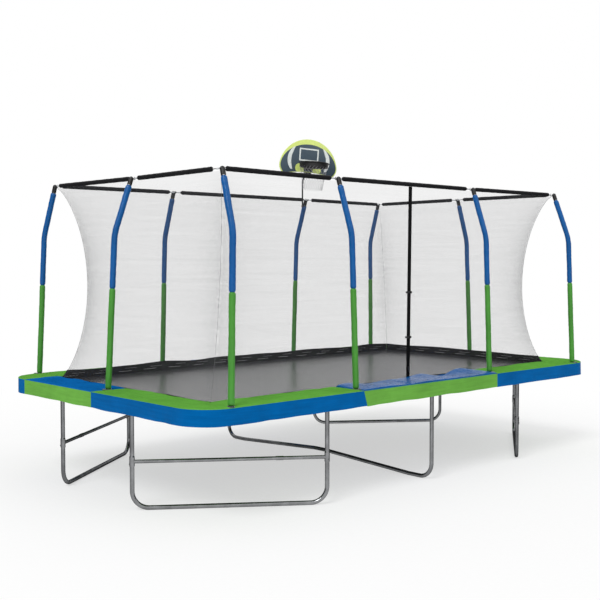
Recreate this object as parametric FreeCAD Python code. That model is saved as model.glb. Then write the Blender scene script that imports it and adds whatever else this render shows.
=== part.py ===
"""Rectangular garden trampoline with an enclosure net and a basketball hoop.

The origin is on the ground under the middle of the mat, +X runs along the long side, +Y along the
short side and +Z is up. All sizes are in millimetres. "front" is the -Y side and "left" the -X end.
"""

import FreeCAD
import Part
import math
import os

os.makedirs("parts", exist_ok=True)

V = FreeCAD.Vector
UP = V(0, 0, 1)

# Clearances of the fits
PUSH_FIT = 0.2  # a tube that slides into or over another, on the radius
SEAT_GAP = 0.3  # soft pieces and loose pieces at their seats
END_GAP = 0.1  # a tube end that stands on a shoulder

# Top frame: centreline of the rail in plan
FRAME_HALF_X = 2680.0
FRAME_HALF_Y = 1510.0
FRAME_CORNER_R = 260.0
RAIL_Z = 885.0
RAIL_R = 21.0
RAIL_WALL = 2.0
CORNER_ARM_X = 380.0  # from the frame's corner to the end of a corner tube, along the long side
CORNER_ARM_Y = 710.0  # and along the short side
NECK_LENGTH = 70.0
NECK_INSIDE = 30.0  # how far a neck is welded into its own tube
NECK_WALL = 1.6
JOINT_PAST_MIDDLE = 40.0  # the left rail reaches this far past the middle leg
CORNER_END_X = FRAME_HALF_X - CORNER_ARM_X
CORNER_END_Y = FRAME_HALF_Y - CORNER_ARM_Y

# Legs
LEG_R = 19.0
LEG_WALL = 1.8
LEG_REACH_X = 1312.0  # from the frame's corner to a corner leg's post on the long side
LEG_REACH_Y = 948.0  # and on the short side
LEG_BEND_R = 140.0
FLAT_DEPTH = 0.5  # the base tubes are rolled flat this deep where they rest
LEG_SOCKET_DROP = 85.0  # from the rail's centre to the socket's mouth
LEG_NECK_LENGTH = 55.0
COUPLING_BOTTOM = 365.0
COUPLING_LENGTH = 75.0
COUPLING_WALL = 3.4
COUPLING_TAPER = 12.0
BASE_TOP_GAP = 5.0
BRACE_UP = 38.0  # height of the brace above the coupling's lower end
BRACE_R = 15.5
BRACE_WALL = 1.5
STUB_SHARE = 0.23  # how far along the brace its push-fit joint lies
STUB_SOCKET_LENGTH = 60.0
STUB_SOCKET_WALL = 2.1
MID_BASE_RISE = 62.0
MID_LEVEL_HALF = 70.0  # half of the level stretch in the middle, where the halves join
MID_LEVEL_R = 300.0
MID_NECK_LENGTH = 50.0
SIDE_LEG_X = FRAME_HALF_X - LEG_REACH_X
END_LEG_Y = FRAME_HALF_Y - LEG_REACH_Y
LEG_SOCKET_BOTTOM = RAIL_Z - LEG_SOCKET_DROP
COUPLING_R = LEG_R + PUSH_FIT + COUPLING_WALL
BRACE_Z = COUPLING_BOTTOM + BRACE_UP
STUB_SOCKET_R = BRACE_R + PUSH_FIT + STUB_SOCKET_WALL

# Pads
PAD_OVER_RAIL = 2.0
PAD_THICKNESS = 27.0
PAD_OVERHANG = 40.0
PAD_MAT_GAP = 4.0
PAD_SEAM_GAP = 0.6
PAD_ROUNDING = 11.0
SKIRT_DROP = 118.0
SKIRT_THICKNESS = 4.0
SKIRT_OUT = 2.0  # how far the skirt stands proud of the pad
POLE_HOLE_CLEAR = 5.5
PAD_BOTTOM = RAIL_Z + RAIL_R + PAD_OVER_RAIL
PAD_TOP = PAD_BOTTOM + PAD_THICKNESS
SKIRT_BOTTOM = PAD_BOTTOM - SKIRT_DROP

# Enclosure poles
POLE_R = 19.0
POLE_WALL = 1.5
POLE_SOCKET_WALL = 3.8
POLE_SOCKET_DROP = 85.0  # from the rail's centre to the socket's lower end
SOCKET_UNDER_PAD = 1.5
POLE_IN_SOCKET = 6.0  # the pole stops this far above the socket's lower end
CORNER_POLE_PAST_BEND = 20.0  # from the start of the rail's bend, along the long side
SIDE_POLE_X = 965.0
SIDE_POLE_IN = 55.0  # how far a side pole stands in from the rail
END_POLE_IN = 129.0
LEAN_CORNER = (0.035, 0.024)  # inward lean in X and Y for each unit of height
LEAN_SIDE = 0.039
LEAN_END = 0.056
LOWER_RISE = 1401.0  # from the rail to the pole's bend
UPPER_RISE = 488.0  # from the bend to the tip
TIP_CORNER = (33.0, 169.0)  # how far the tip lies further in than the bend
TIP_SIDE = 167.0
TIP_END = 175.0
POLE_BEND_R = 420.0
WEB_THICKNESS = 6.0
WEB_HEIGHT = 40.0
POLE_SOCKET_R = POLE_R + PUSH_FIT + POLE_SOCKET_WALL
POLE_SOCKET_BOTTOM = RAIL_Z - POLE_SOCKET_DROP
POLE_SOCKET_TOP = PAD_BOTTOM - SOCKET_UNDER_PAD
POLE_BOTTOM = POLE_SOCKET_BOTTOM + POLE_IN_SOCKET
CORNER_POLE_X = FRAME_HALF_X - FRAME_CORNER_R - CORNER_POLE_PAST_BEND
SIDE_POLE_Y = FRAME_HALF_Y - SIDE_POLE_IN
END_POLE_X = FRAME_HALF_X - END_POLE_IN
BEND_Z = RAIL_Z + LOWER_RISE
TIP_Z = BEND_Z + UPPER_RISE

# Foam sleeves and caps of the poles
FOAM_THICKNESS = 9.0
SLEEVE_OVER_PAD = 9.0
GREEN_LENGTH = 865.0
SLEEVE_SHORT_OF_TIP = 95.0
CAP_WALL = 2.3
CAP_LENGTH = 55.0
CAP_END = 6.0  # the cap's closed end stands this far short of the pole's tip point
CAP_FLOOR = 2.0
HOOK_WIRE_R = 3.0
HOOK_R = 12.5
HOOK_SWEEP = 250.0
HOOK_ARM_R = 4.5
POLE_END_GAP = 8.0
SLEEVE_R = POLE_R + FOAM_THICKNESS
SLEEVE_BOTTOM = PAD_TOP + SLEEVE_OVER_PAD
COLOUR_CHANGE_Z = SLEEVE_BOTTOM + GREEN_LENGTH
CAP_R = POLE_R + PUSH_FIT + CAP_WALL

# Top ring
RING_IN = 28.0  # how far the line lies inside the pole tips
LINE_R = 4.0
LINE_BEND_R = 8.0
RING_SLEEVE_R = 19.0
RING_GAP_SIDE = 62.0  # bare line beside a pole on a long side or an end
RING_GAP_CORNER = 45.0
RING_Z = TIP_Z

# Mat, springs and V-rings
SPRING_SPAN = 310.0  # from the mat's edge to the rail's centre
MAT_OVER_RAIL = 8.0
MAT_CUT = 50.0
MAT_THICKNESS = 4.0
MAT_BORDER = 40.0
MAT_BORDER_RISE = 1.5
VRING_BASE = 62.0
VRING_DEPTH = 46.0
VRING_WIRE = 5.0
SPRING_PITCH = 155.0
SPRING_R = 12.5
SPRING_HOOK_R = 2.2
SPRING_HOOK = 34.0
SPRING_SHOULDER = 12.0
SPRING_RAIL_GAP = 0.7
MAT_HALF_X = FRAME_HALF_X - SPRING_SPAN
MAT_HALF_Y = FRAME_HALF_Y - SPRING_SPAN
MAT_BOTTOM = RAIL_Z + MAT_OVER_RAIL
PAD_INNER_X = MAT_HALF_X + PAD_MAT_GAP
PAD_INNER_Y = MAT_HALF_Y + PAD_MAT_GAP

# Net
NET_THICKNESS = 4.0
NET_INSET = 15.0
NET_CORNER_INSET = 12.0
NET_WAIST_CORNER = 285.0
NET_WAIST_SIDE = 0.0
NET_WAIST_END = 30.0
NET_STATIONS = 9
NET_UNDER_SLEEVE = 0.5
BAND_HEIGHT = 86.0  # along the back and the right end
BAND_LOW_HEIGHT = 28.0  # along the front, where one climbs in, and the left end
BAND_THICKNESS = 3.0
NET_FOOT_Z = MAT_BOTTOM + MAT_THICKNESS + MAT_BORDER_RISE + SEAT_GAP
NET_TOP_Z = RING_Z - RING_SLEEVE_R - NET_UNDER_SLEEVE

# Zip entrance, on the front net
ZIP_X = 30.0
ZIP_WIDTH = 50.0
ZIP_THICKNESS = 2.5
ZIP_END_GAP = 2.0
SLIDER_WIDTH = 13.0
SLIDER_DEPTH = 5.0
SLIDER_HEIGHT = 30.0
SLIDER_CORNER_R = 1.8
SLIDER_UP = 111.0  # the closed slider's height above the net's foot
PIN_R = 1.3
PIN_CLEAR = 0.06
PIN_OUT = 8.0  # how far the pull's pin stands off the tape
PIN_UP = 24.0
LUG_THICKNESS = 2.9
LUG_HALF = 4.0
LUG_RIM = 1.2
EYE_WALL = 1.1
EYE_SIDE_GAP = 0.3
PULL_WIDTH = 11.0
PULL_THICKNESS = 1.6
PULL_LENGTH = 46.0
PULL_NECK = 10.0
PULL_CORNER_R = 2.5
BUCKLES_UP = {"lower": 421.0, "upper": 850.0}  # above the net's foot
BUCKLE_OFF = 13.0  # the buckles bridge the slider's way at this distance
BUCKLE_DEPTH = 8.0
BUCKLE_HEIGHT = 22.0
BUCKLE_WALL = 2.0
BUCKLE_CORNER_R = 2.0
BUCKLE_RAIL = 1.0  # more wall above and below the tongue
SOCKET_LENGTH = 20.0
PLUG_LENGTH = 10.0
TONGUE_LENGTH = 13.0
TONGUE_CLEAR = 0.4
BUCKLE_SEAM = 3.0  # the seam between socket and plug, right of the tape's middle
WEBBING_WIDTH = 18.0
WEBBING = 2.0
WEBBING_DROP = 20.0  # run of webbing that slants back to the net
WEBBING_LIE = 10.0  # run that lies on the net

# Basketball hoop, in its own frame: x across the board, -y the way it faces, z up
HOOP_TURN = -25.0
HOOP_ROLL = 4.0
BOARD_LEFT_OF_TIP = 3.0  # the board's lowest middle point, from its pole's tip
BOARD_IN_FROM_TIP = 55.0
BOARD_ABOVE_TIP = 292.0
BOARD_WIDTH = 715.0
BOARD_HEIGHT = 425.0
BOARD_THICKNESS = 12.0
BOARD_SHOULDER = 125.0
BOARD_CORNER = 48.0
BOARD_CORNER_BULGE = 10.0
BOARD_NOTCH_RISE = 34.0
RIM_R = 170.0
RIM_TUBE_R = 9.0
RIM_COLLAR = 46.0
RIM_COLLAR_IN = 2.0  # the collar's outer face lies this far inside the rim's centreline
RIM_COLLAR_WALL = 5.0
RIM_UP = 120.0
RIM_CLEAR = 42.0
RIM_PLATE_HALF = 55.0
RIM_PLATE_BELOW = 62.0
RIM_PLATE_ABOVE = 30.0
RIM_PLATE_THICKNESS = 6.0
RIM_ARM_HALF = 38.0
HOOP_NET_LENGTH = 270.0
HOOP_NET_FOOT_R = 118.0
HOOP_NET_THICKNESS = 4.0
HOOP_NET_LAP = 12.0  # how far the net reaches up inside the rim's collar
STEM_R = 9.0
STEM_BEND_R = 60.0
STEM_BEND_BELOW_BOARD = 60.0
CLAMP_DOWN = 78.0  # from the tip to the clamp's middle, along the pole
CLAMP_HALF = 8.0
CLAMP_WALL = 4.4
CLAMP_FIT = 0.1
HUB_WALL = 5.0
PLATE_HALF = 45.0
PLATE_LOW, PLATE_HIGH = 20.0, 180.0
PLATE_THICKNESS = 5.7
FOOT_HALF = 14.0
FOOT_LOW, FOOT_HIGH = 24.0, 70.0
FOOT_DEPTH = 24.0
STEM_BEHIND_BOARD = 14.0
STEM_UP = 40.0


def save(shape, node):
    """Write one sub-part as a STEP file named after its node."""
    shape.exportStep(os.path.join("parts", node + ".step"))


def together(shapes):
    """Separate solids in one node."""
    return Part.makeCompound(shapes)


def mirrored(shape, flip_x, flip_y):
    """The shape on the other side of the middle, across X, Y or both."""
    out = shape
    if flip_x:
        out = out.mirror(V(0, 0, 0), V(1, 0, 0))
    if flip_y:
        out = out.mirror(V(0, 0, 0), V(0, 1, 0))
    return out


def rod(start, end, radius):
    """A round bar between two points."""
    line = end - start
    return Part.makeCylinder(radius, line.Length, start, line)


def pipe(start, end, radius, wall):
    """A straight tube between two points."""
    return rod(start, end, radius).cut(rod(start, end, radius - wall))


def rounded_path(points, radii):
    """Straight runs through the points, joined by tangent arcs of the given radii at the inner ones."""
    edges = []
    at = points[0]
    for i, radius in enumerate(radii, start=1):
        here = points[i]
        u = (at - here).normalize()
        w = (points[i + 1] - here).normalize()
        half = u.getAngle(w) / 2
        reach = radius / math.tan(half)
        inward = (u + w).normalize()
        first, last = here + u * reach, here + w * reach
        middle = here + inward * (radius / math.sin(half) - radius)
        edges.append(Part.LineSegment(at, first).toShape())
        edges.append(Part.Arc(first, middle, last).toShape())
        at = last
    edges.append(Part.LineSegment(at, points[-1]).toShape())
    return Part.Wire(edges)


def swept(path, radius, inner=0.0):
    """A round section, hollow where inner is more than nothing, carried along a path of lines and arcs."""
    edge = path.Edges[0]
    start = edge.valueAt(edge.FirstParameter)
    along = edge.tangentAt(edge.FirstParameter)
    outline = Part.Wire(Part.Circle(start, along, radius).toShape())
    solid = path.makePipe(Part.Face(outline))
    if inner <= 0:
        return solid
    bore = Part.Wire(Part.Circle(start, along, inner).toShape())
    return solid.cut(path.makePipe(Part.Face(bore)))


def turned(profile, base):
    """A profile of (radius, height) pairs turned about the vertical through base."""
    points = [V(base.x + r, base.y, base.z + z) for r, z in profile]
    outline = Part.makePolygon(points + [points[0]])
    return Part.Face(outline).revolve(base, UP, 360)


def box_between(low, high):
    """A box from its lowest to its highest corner."""
    size = high - low
    return Part.makeBox(size.x, size.y, size.z, low)


# Top frame


def leg_socket(x, y):
    """The short tube welded under a rail that takes the neck of a leg."""
    return rod(V(x, y, LEG_SOCKET_BOTTOM), V(x, y, RAIL_Z), LEG_R)


def leg_socket_bore(x, y):
    """The bore of a leg socket, up to the underside of the rail."""
    top = RAIL_Z - RAIL_R - END_GAP
    return rod(V(x, y, LEG_SOCKET_BOTTOM), V(x, y, top), LEG_R - LEG_WALL)


def pole_socket(x, y):
    """The upright tube that holds a pole."""
    return rod(V(x, y, POLE_SOCKET_BOTTOM), V(x, y, POLE_SOCKET_TOP), POLE_SOCKET_R)


def leaning_bore(pole, radius):
    """A bore along the pole's own lower run, so that the socket leans with it."""
    line = (pole.bend - pole.foot).normalize()
    return rod(pole.foot - line * POLE_SOCKET_DROP, pole.foot + line * 3 * POLE_SOCKET_DROP, radius)


def neck(start, along):
    """The reduced tube end that slides into the next rail."""
    outer = RAIL_R - RAIL_WALL - PUSH_FIT
    inside = start - along * NECK_INSIDE
    return pipe(inside, start + along * NECK_LENGTH, outer, NECK_WALL)


class Pole:
    """The centreline of one pole: foot, bend and tip, leaning in and then bent further in."""

    def __init__(self, name, x, y, lean, tip):
        self.name = name
        self.x, self.y = x, y
        sx = (x > 0) - (x < 0)
        sy = (y > 0) - (y < 0)
        self.sx, self.sy = sx, sy

        def at(z, extra_x=0.0, extra_y=0.0):
            rise = z - PAD_TOP
            return V(
                x - sx * (lean[0] * rise + extra_x),
                y - sy * (lean[1] * rise + extra_y),
                z,
            )

        self.foot = at(POLE_BOTTOM)
        self.bend = at(BEND_Z)
        over_bend = at(BEND_Z, tip[0], tip[1])
        self.tip = V(over_bend.x, over_bend.y, TIP_Z)
        self.at = at
        inward = V(over_bend.x - self.bend.x, over_bend.y - self.bend.y, 0).normalize()
        self.inward = inward
        self.ring = V(self.tip.x, self.tip.y, RING_Z) + inward * RING_IN

    def run(self, low, high_short=0.0):
        """The path from a height low up to a distance short of the tip, round the bend."""
        back = (self.bend - self.tip).normalize()
        end = self.tip + back * high_short
        return rounded_path([self.at(low), self.bend, end], [POLE_BEND_R])


def all_poles():
    """The ten poles, in order round the frame from the front left corner."""
    cx, cy = CORNER_POLE_X, FRAME_HALF_Y
    sx, sy = SIDE_POLE_X, SIDE_POLE_Y
    lean_c, lean_s, lean_e = LEAN_CORNER, (0.0, LEAN_SIDE), (LEAN_END, 0.0)
    tip_s, tip_e = (0.0, TIP_SIDE), (TIP_END, 0.0)
    return [
        Pole("pole_front_left_corner", -cx, -cy, lean_c, TIP_CORNER),
        Pole("pole_front_left_middle", -sx, -sy, lean_s, tip_s),
        Pole("pole_front_right_middle", sx, -sy, lean_s, tip_s),
        Pole("pole_front_right_corner", cx, -cy, lean_c, TIP_CORNER),
        Pole("pole_right_end", END_POLE_X, 0.0, lean_e, tip_e),
        Pole("pole_back_right_corner", cx, cy, lean_c, TIP_CORNER),
        Pole("pole_back_right_middle", sx, sy, lean_s, tip_s),
        Pole("pole_back_left_middle", -sx, sy, lean_s, tip_s),
        Pole("pole_back_left_corner", -cx, cy, lean_c, TIP_CORNER),
        Pole("pole_left_end", -END_POLE_X, 0.0, lean_e, tip_e),
    ]


POLES = all_poles()


def corner_tube(pole):
    """A bent corner of the frame with necks at both ends and the corner pole's socket through it.

    It is drawn for the right back corner and mirrored to the others.
    """
    hx, hy = FRAME_HALF_X, FRAME_HALF_Y
    points = [V(CORNER_END_X, hy, RAIL_Z), V(hx, hy, RAIL_Z), V(hx, CORNER_END_Y, RAIL_Z)]
    path = rounded_path(points, [FRAME_CORNER_R])
    tube = swept(path, RAIL_R, RAIL_R - RAIL_WALL)
    socket = pole_socket(pole.x, pole.y)
    tube = tube.fuse([neck(points[0], V(-1, 0, 0)), neck(points[2], V(0, -1, 0)), socket])
    return tube.cut(leaning_bore(pole, POLE_R + PUSH_FIT))


def pole_arm(pole, rail_axis_point):
    """The web that carries a socket which stands in from the rail."""
    to_socket = V(pole.x, pole.y, RAIL_Z) - rail_axis_point
    length = to_socket.Length
    web = Part.makeBox(length, WEB_THICKNESS, WEB_HEIGHT)
    web.translate(V(0, -WEB_THICKNESS / 2, -WEB_HEIGHT / 2))
    turn = math.degrees(math.atan2(to_socket.y, to_socket.x))
    web.rotate(V(0, 0, 0), UP, turn)
    web.translate(rail_axis_point)
    return web


def rail(start, end, legs, poles, with_neck):
    """A straight rail with the leg sockets and pole sockets that are welded to it."""
    along = (end - start).normalize()
    outer = rod(start, end, RAIL_R)
    for x, y in legs:
        outer = outer.fuse(leg_socket(x, y))
    for pole, beside in poles:
        outer = outer.fuse([pole_arm(pole, beside), pole_socket(pole.x, pole.y)])
    out = outer.cut(rod(start, end, RAIL_R - RAIL_WALL))
    for x, y in legs:
        out = out.cut(leg_socket_bore(x, y))
    for pole, beside in poles:
        out = out.cut(leaning_bore(pole, POLE_R + PUSH_FIT))
    if with_neck:
        out = out.fuse(neck(end, along))
    return out


def make_frame():
    """Four corners, four long rails and two end rails."""
    back_right = POLES[5]
    corner = corner_tube(back_right)
    for name, flip_x, flip_y in (
        ("frame_corner_back_right", False, False),
        ("frame_corner_back_left", True, False),
        ("frame_corner_front_right", False, True),
        ("frame_corner_front_left", True, True),
    ):
        save(mirrored(corner, flip_x, flip_y), name)
    for side, hy in (("front", -FRAME_HALF_Y), ("back", FRAME_HALF_Y)):
        by_x = {p.x: p for p in POLES if abs(p.x) == SIDE_POLE_X and p.y * hy > 0}
        left_pole, right_pole = by_x[-SIDE_POLE_X], by_x[SIDE_POLE_X]
        joint = V(JOINT_PAST_MIDDLE, hy, RAIL_Z)
        save(
            rail(
                V(-CORNER_END_X, hy, RAIL_Z),
                joint,
                [(-SIDE_LEG_X, hy), (0.0, hy)],
                [(left_pole, V(left_pole.x, hy, RAIL_Z))],
                True,
            ),
            f"frame_rail_{side}_left",
        )
        save(
            rail(
                joint,
                V(CORNER_END_X, hy, RAIL_Z),
                [(SIDE_LEG_X, hy)],
                [(right_pole, V(right_pole.x, hy, RAIL_Z))],
                False,
            ),
            f"frame_rail_{side}_right",
        )
    for name, hx, pole in (
        ("frame_rail_left_end", -FRAME_HALF_X, POLES[9]),
        ("frame_rail_right_end", FRAME_HALF_X, POLES[4]),
    ):
        save(
            rail(
                V(hx, -CORNER_END_Y, RAIL_Z),
                V(hx, CORNER_END_Y, RAIL_Z),
                [(hx, -END_LEG_Y), (hx, END_LEG_Y)],
                [(pole, V(hx, 0, RAIL_Z))],
                False,
            ),
            name,
        )


# Legs


def leg_post(x, y):
    """A post: a neck that enters the frame's socket above, and an expanded coupling below."""
    r, w = LEG_R, LEG_WALL
    neck_r = r - w - PUSH_FIT
    low, high = COUPLING_BOTTOM, COUPLING_BOTTOM + COUPLING_LENGTH
    shoulder = LEG_SOCKET_BOTTOM - END_GAP
    top = shoulder + LEG_NECK_LENGTH
    profile = [
        (COUPLING_R, low),
        (COUPLING_R, high),
        (r, high + COUPLING_TAPER),
        (r, shoulder),
        (neck_r, shoulder),
        (neck_r, top),
        (neck_r - w, top),
        (neck_r - w, shoulder - COUPLING_TAPER),
        (r - w, shoulder - 2 * COUPLING_TAPER),
        (r - w, high + COUPLING_TAPER - COUPLING_WALL),
        (r + PUSH_FIT, high),
        (r + PUSH_FIT, low),
    ]
    return turned(profile, V(x, y, 0))


def leg_places():
    """(post without a stub, post with the stub) of each corner leg, with the leg's name."""
    hx, hy = FRAME_HALF_X, FRAME_HALF_Y
    return [
        ("front_left", (-hx, -END_LEG_Y), (-SIDE_LEG_X, -hy)),
        ("front_right", (SIDE_LEG_X, -hy), (hx, -END_LEG_Y)),
        ("back_right", (hx, END_LEG_Y), (SIDE_LEG_X, hy)),
        ("back_left", (-SIDE_LEG_X, hy), (-hx, END_LEG_Y)),
    ]


def stub_on(post, plain, stubbed):
    """The post with the brace's socket stub welded to its coupling."""
    start = V(stubbed[0], stubbed[1], BRACE_Z)
    line = V(plain[0], plain[1], BRACE_Z) - start
    along = V(line).normalize()
    seam = start + along * (line.Length * STUB_SHARE)
    stub = rod(start, seam, BRACE_R)
    cup = rod(seam - along * STUB_SOCKET_WALL, seam + along * STUB_SOCKET_LENGTH, STUB_SOCKET_R)
    inside = rod(start, start + along * line.Length, BRACE_R - BRACE_WALL)
    seat = rod(seam, seam + along * STUB_SOCKET_LENGTH, BRACE_R + PUSH_FIT)
    arm = stub.fuse(cup).cut([inside, seat])
    inner = COUPLING_R - COUPLING_WALL / 2
    keep_out = rod(V(start.x, start.y, 0), V(start.x, start.y, LEG_SOCKET_BOTTOM), inner)
    return post.fuse(arm.cut(keep_out))


def brace(plain, stubbed):
    """The brace tube, from the plain post's coupling to the bottom of the stub's socket."""
    start = V(plain[0], plain[1], BRACE_Z)
    line = V(stubbed[0], stubbed[1], BRACE_Z) - start
    along = V(line).normalize()
    end = start + along * (line.Length * (1 - STUB_SHARE) - SEAT_GAP)
    tube = pipe(start, end, BRACE_R, BRACE_WALL)
    return tube.cut(rod(V(start.x, start.y, 0), V(start.x, start.y, RAIL_Z), COUPLING_R))


def ground():
    """All below the ground, where the base tubes are rolled flat."""
    x, y = 2 * FRAME_HALF_X, 2 * FRAME_HALF_Y
    return box_between(V(-x, -y, -2 * LEG_R), V(x, y, 0))


def leg_base(plain, stubbed):
    """The ground tube of a corner leg, bent up at both ends into the two couplings."""
    top = COUPLING_BOTTOM + COUPLING_LENGTH - BASE_TOP_GAP
    low = LEG_R - FLAT_DEPTH
    a, b = plain, stubbed
    points = [V(a[0], a[1], top), V(a[0], a[1], low), V(b[0], b[1], low), V(b[0], b[1], top)]
    path = rounded_path(points, [LEG_BEND_R, LEG_BEND_R])
    tube = swept(path, LEG_R, LEG_R - LEG_WALL)
    return tube.cut(ground())


def middle_half(sign, with_neck):
    """Half of the middle leg: from the frame's socket down, round the bend and up to the middle joint."""
    hy = FRAME_HALF_Y * sign
    low = LEG_R - FLAT_DEPTH
    foot_in = 2 * LEG_BEND_R
    shoulder = LEG_SOCKET_BOTTOM - END_GAP
    points = [
        V(0, hy, shoulder),
        V(0, hy, low),
        V(0, hy - sign * foot_in, low),
        V(0, sign * MID_LEVEL_HALF, low + MID_BASE_RISE),
        V(0, sign * SEAT_GAP / 2, low + MID_BASE_RISE),
    ]
    path = rounded_path(points, [0.98 * LEG_BEND_R, LEG_BEND_R, MID_LEVEL_R])
    tube = swept(path, LEG_R, LEG_R - LEG_WALL)
    r = LEG_R - LEG_WALL - PUSH_FIT
    inside = V(0, hy, shoulder - NECK_INSIDE)
    tube = tube.cut(ground()).fuse(pipe(inside, V(0, hy, shoulder + LEG_NECK_LENGTH), r, LEG_WALL))
    if with_neck:
        inward = V(0, -sign, 0)
        start, end = points[4] - inward * NECK_INSIDE, points[4] + inward * MID_NECK_LENGTH
        tube = tube.fuse(pipe(start, end, r, LEG_WALL))
    return tube


def make_legs():
    """Corner legs, braces and the middle leg."""
    plain_posts, stub_posts, braces = [], [], []
    for name, plain, stubbed in leg_places():
        plain_posts.append(leg_post(*plain))
        stub_posts.append(stub_on(leg_post(*stubbed), plain, stubbed))
        braces.append(brace(plain, stubbed))
        save(leg_base(plain, stubbed), f"leg_base_{name}")
    save(together(plain_posts), "leg_posts_plain")
    save(together(stub_posts), "leg_posts_with_stub")
    save(together(braces), "leg_braces")
    save(middle_half(-1, False), "middle_leg_front_half")
    save(middle_half(1, True), "middle_leg_back_half")


# Poles, sleeves and caps


def pole_cap(pole):
    """A domed cap over the pole's end, with the hook that holds the ring's line."""
    down = (pole.bend - pole.tip).normalize()
    end = pole.tip + down * CAP_END
    body = rod(end + down * CAP_LENGTH, end, CAP_R)
    dome = Part.makeSphere(CAP_R, end)
    hollow = rod(end + down * (CAP_LENGTH + 1), end + down * CAP_FLOOR, POLE_R + PUSH_FIT)
    cap = body.fuse(dome).cut(hollow)
    return cap.fuse(line_hook(pole, end))


def line_hook(pole, root):
    """A wire hook that runs under the ring's line and curls up on its inner side.

    At a corner its plane halves the angle between the line's two runs, so that both clear it.
    """
    curl = Part.makeTorus(HOOK_R, HOOK_WIRE_R, V(0, 0, 0), UP, -180, 180, HOOK_SWEEP)
    out = V(pole.sx, pole.sy, 0).normalize() if "corner" in pole.name else pole.inward * -1
    across = UP.cross(out)
    where = FreeCAD.Matrix(
        out.x, 0, across.x, pole.ring.x,
        out.y, 0, across.y, pole.ring.y,
        out.z, -1, across.z, pole.ring.z,
        0, 0, 0, 1,
    )
    curl.Placement = FreeCAD.Placement(where)
    arm = rod(root, pole.ring + out * HOOK_R, HOOK_ARM_R)
    return curl.fuse(arm)


def make_poles():
    """Ten poles, their two-colour sleeves and their caps."""
    green, blue, caps = [], [], []
    for pole in POLES:
        save(swept(pole.run(POLE_BOTTOM, POLE_END_GAP), POLE_R, POLE_R - POLE_WALL), pole.name)
        low = rod(pole.at(SLEEVE_BOTTOM), pole.at(COLOUR_CHANGE_Z), SLEEVE_R)
        bore = rod(pole.at(SLEEVE_BOTTOM), pole.at(COLOUR_CHANGE_Z), POLE_R + SEAT_GAP)
        green.append(low.cut(bore))
        upper = pole.run(COLOUR_CHANGE_Z, SLEEVE_SHORT_OF_TIP)
        blue.append(swept(upper, SLEEVE_R, POLE_R + SEAT_GAP))
        caps.append(pole_cap(pole))
    save(together(green), "pole_sleeves_green")
    save(together(blue), "pole_sleeves_blue")
    save(together(caps), "pole_caps")


def ring_gap(pole):
    """How much of the line stays bare beside a pole."""
    return RING_GAP_CORNER if "corner" in pole.name else RING_GAP_SIDE


def make_ring():
    """The line from hook to hook and its padded sleeves."""
    first, last = POLES[0].ring, POLES[-1].ring
    halfway = (first + last) * 0.5
    points = [halfway] + [pole.ring for pole in POLES] + [halfway]
    save(swept(rounded_path(points, [LINE_BEND_R] * len(POLES)), LINE_R), "top_ring_line")
    sleeves = []
    for a, b in zip(POLES, POLES[1:] + POLES[:1]):
        along = (b.ring - a.ring).normalize()
        start, end = a.ring + along * ring_gap(a), b.ring - along * ring_gap(b)
        sleeves.append(pipe(start, end, RING_SLEEVE_R, RING_SLEEVE_R - LINE_R - SEAT_GAP))
    save(together(sleeves), "top_ring_sleeves")


# Mat, V-rings and springs


def mat_outline(shrink, z):
    """The mat's outline, a rectangle with its corners cut, drawn in by shrink."""
    x, y = MAT_HALF_X - shrink, MAT_HALF_Y - shrink
    c = MAT_CUT
    quarter = [(x - c, -y), (x, -y + c), (x, y - c), (x - c, y)]
    points = [V(px, py, z) for px, py in quarter + [(-px, -py) for px, py in quarter]]
    return Part.Face(Part.makePolygon(points + [points[0]]))


def make_mat():
    """The jumping mat, with its doubled border."""
    mat = mat_outline(0, MAT_BOTTOM).extrude(UP * (MAT_THICKNESS + MAT_BORDER_RISE))
    bed = mat_outline(MAT_BORDER, MAT_BOTTOM + MAT_THICKNESS).extrude(UP * MAT_THICKNESS)
    save(mat.cut(bed), "jumping_mat")


def steps_along(half_edge):
    """Distances of the springs from the middle of an edge, as many as fit beside the cut corner."""
    room = half_edge - MAT_CUT - VRING_BASE / 2
    count = int(room / SPRING_PITCH + 0.5)
    return [(i + 0.5) * SPRING_PITCH for i in range(count)]


def spring_places():
    """(point on the mat's edge, outward direction, distance to the rail) of each spring."""
    out = []
    for sx in (-1, 1):
        for sy in (-1, 1):
            for x in steps_along(MAT_HALF_X):
                out.append((V(sx * x, sy * MAT_HALF_Y, 0), V(0, sy, 0), SPRING_SPAN))
            for y in steps_along(MAT_HALF_Y):
                out.append((V(sx * MAT_HALF_X, sy * y, 0), V(sx, 0, 0), SPRING_SPAN))
    half = math.sqrt(0.5)
    cut = MAT_CUT / 2
    bend_centre = V(FRAME_HALF_X - FRAME_CORNER_R, FRAME_HALF_Y - FRAME_CORNER_R, 0)
    rail_point = bend_centre + V(half, half, 0) * FRAME_CORNER_R
    edge = V(MAT_HALF_X - cut, MAT_HALF_Y - cut, 0)
    reach = (rail_point - edge).dot(V(half, half, 0))
    for sx in (-1, 1):
        for sy in (-1, 1):
            out.append((V(sx * edge.x, sy * edge.y, 0), V(sx * half, sy * half, 0), reach))
    return out


def v_ring(edge, out):
    """A triangular ring of wire, flat side to the mat's edge."""
    side = V(-out.y, out.x, 0)
    centre = edge + V(0, 0, MAT_BOTTOM)

    def triangle(inset):
        base = VRING_BASE / 2 - inset * 2.2
        first, last = inset, VRING_DEPTH - inset * 1.7
        points = [
            centre + out * first + side * base,
            centre + out * first - side * base,
            centre + out * last,
        ]
        return Part.Face(Part.makePolygon(points + [points[0]])).extrude(UP * MAT_THICKNESS)

    return triangle(0).cut(triangle(VRING_WIRE))


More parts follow.
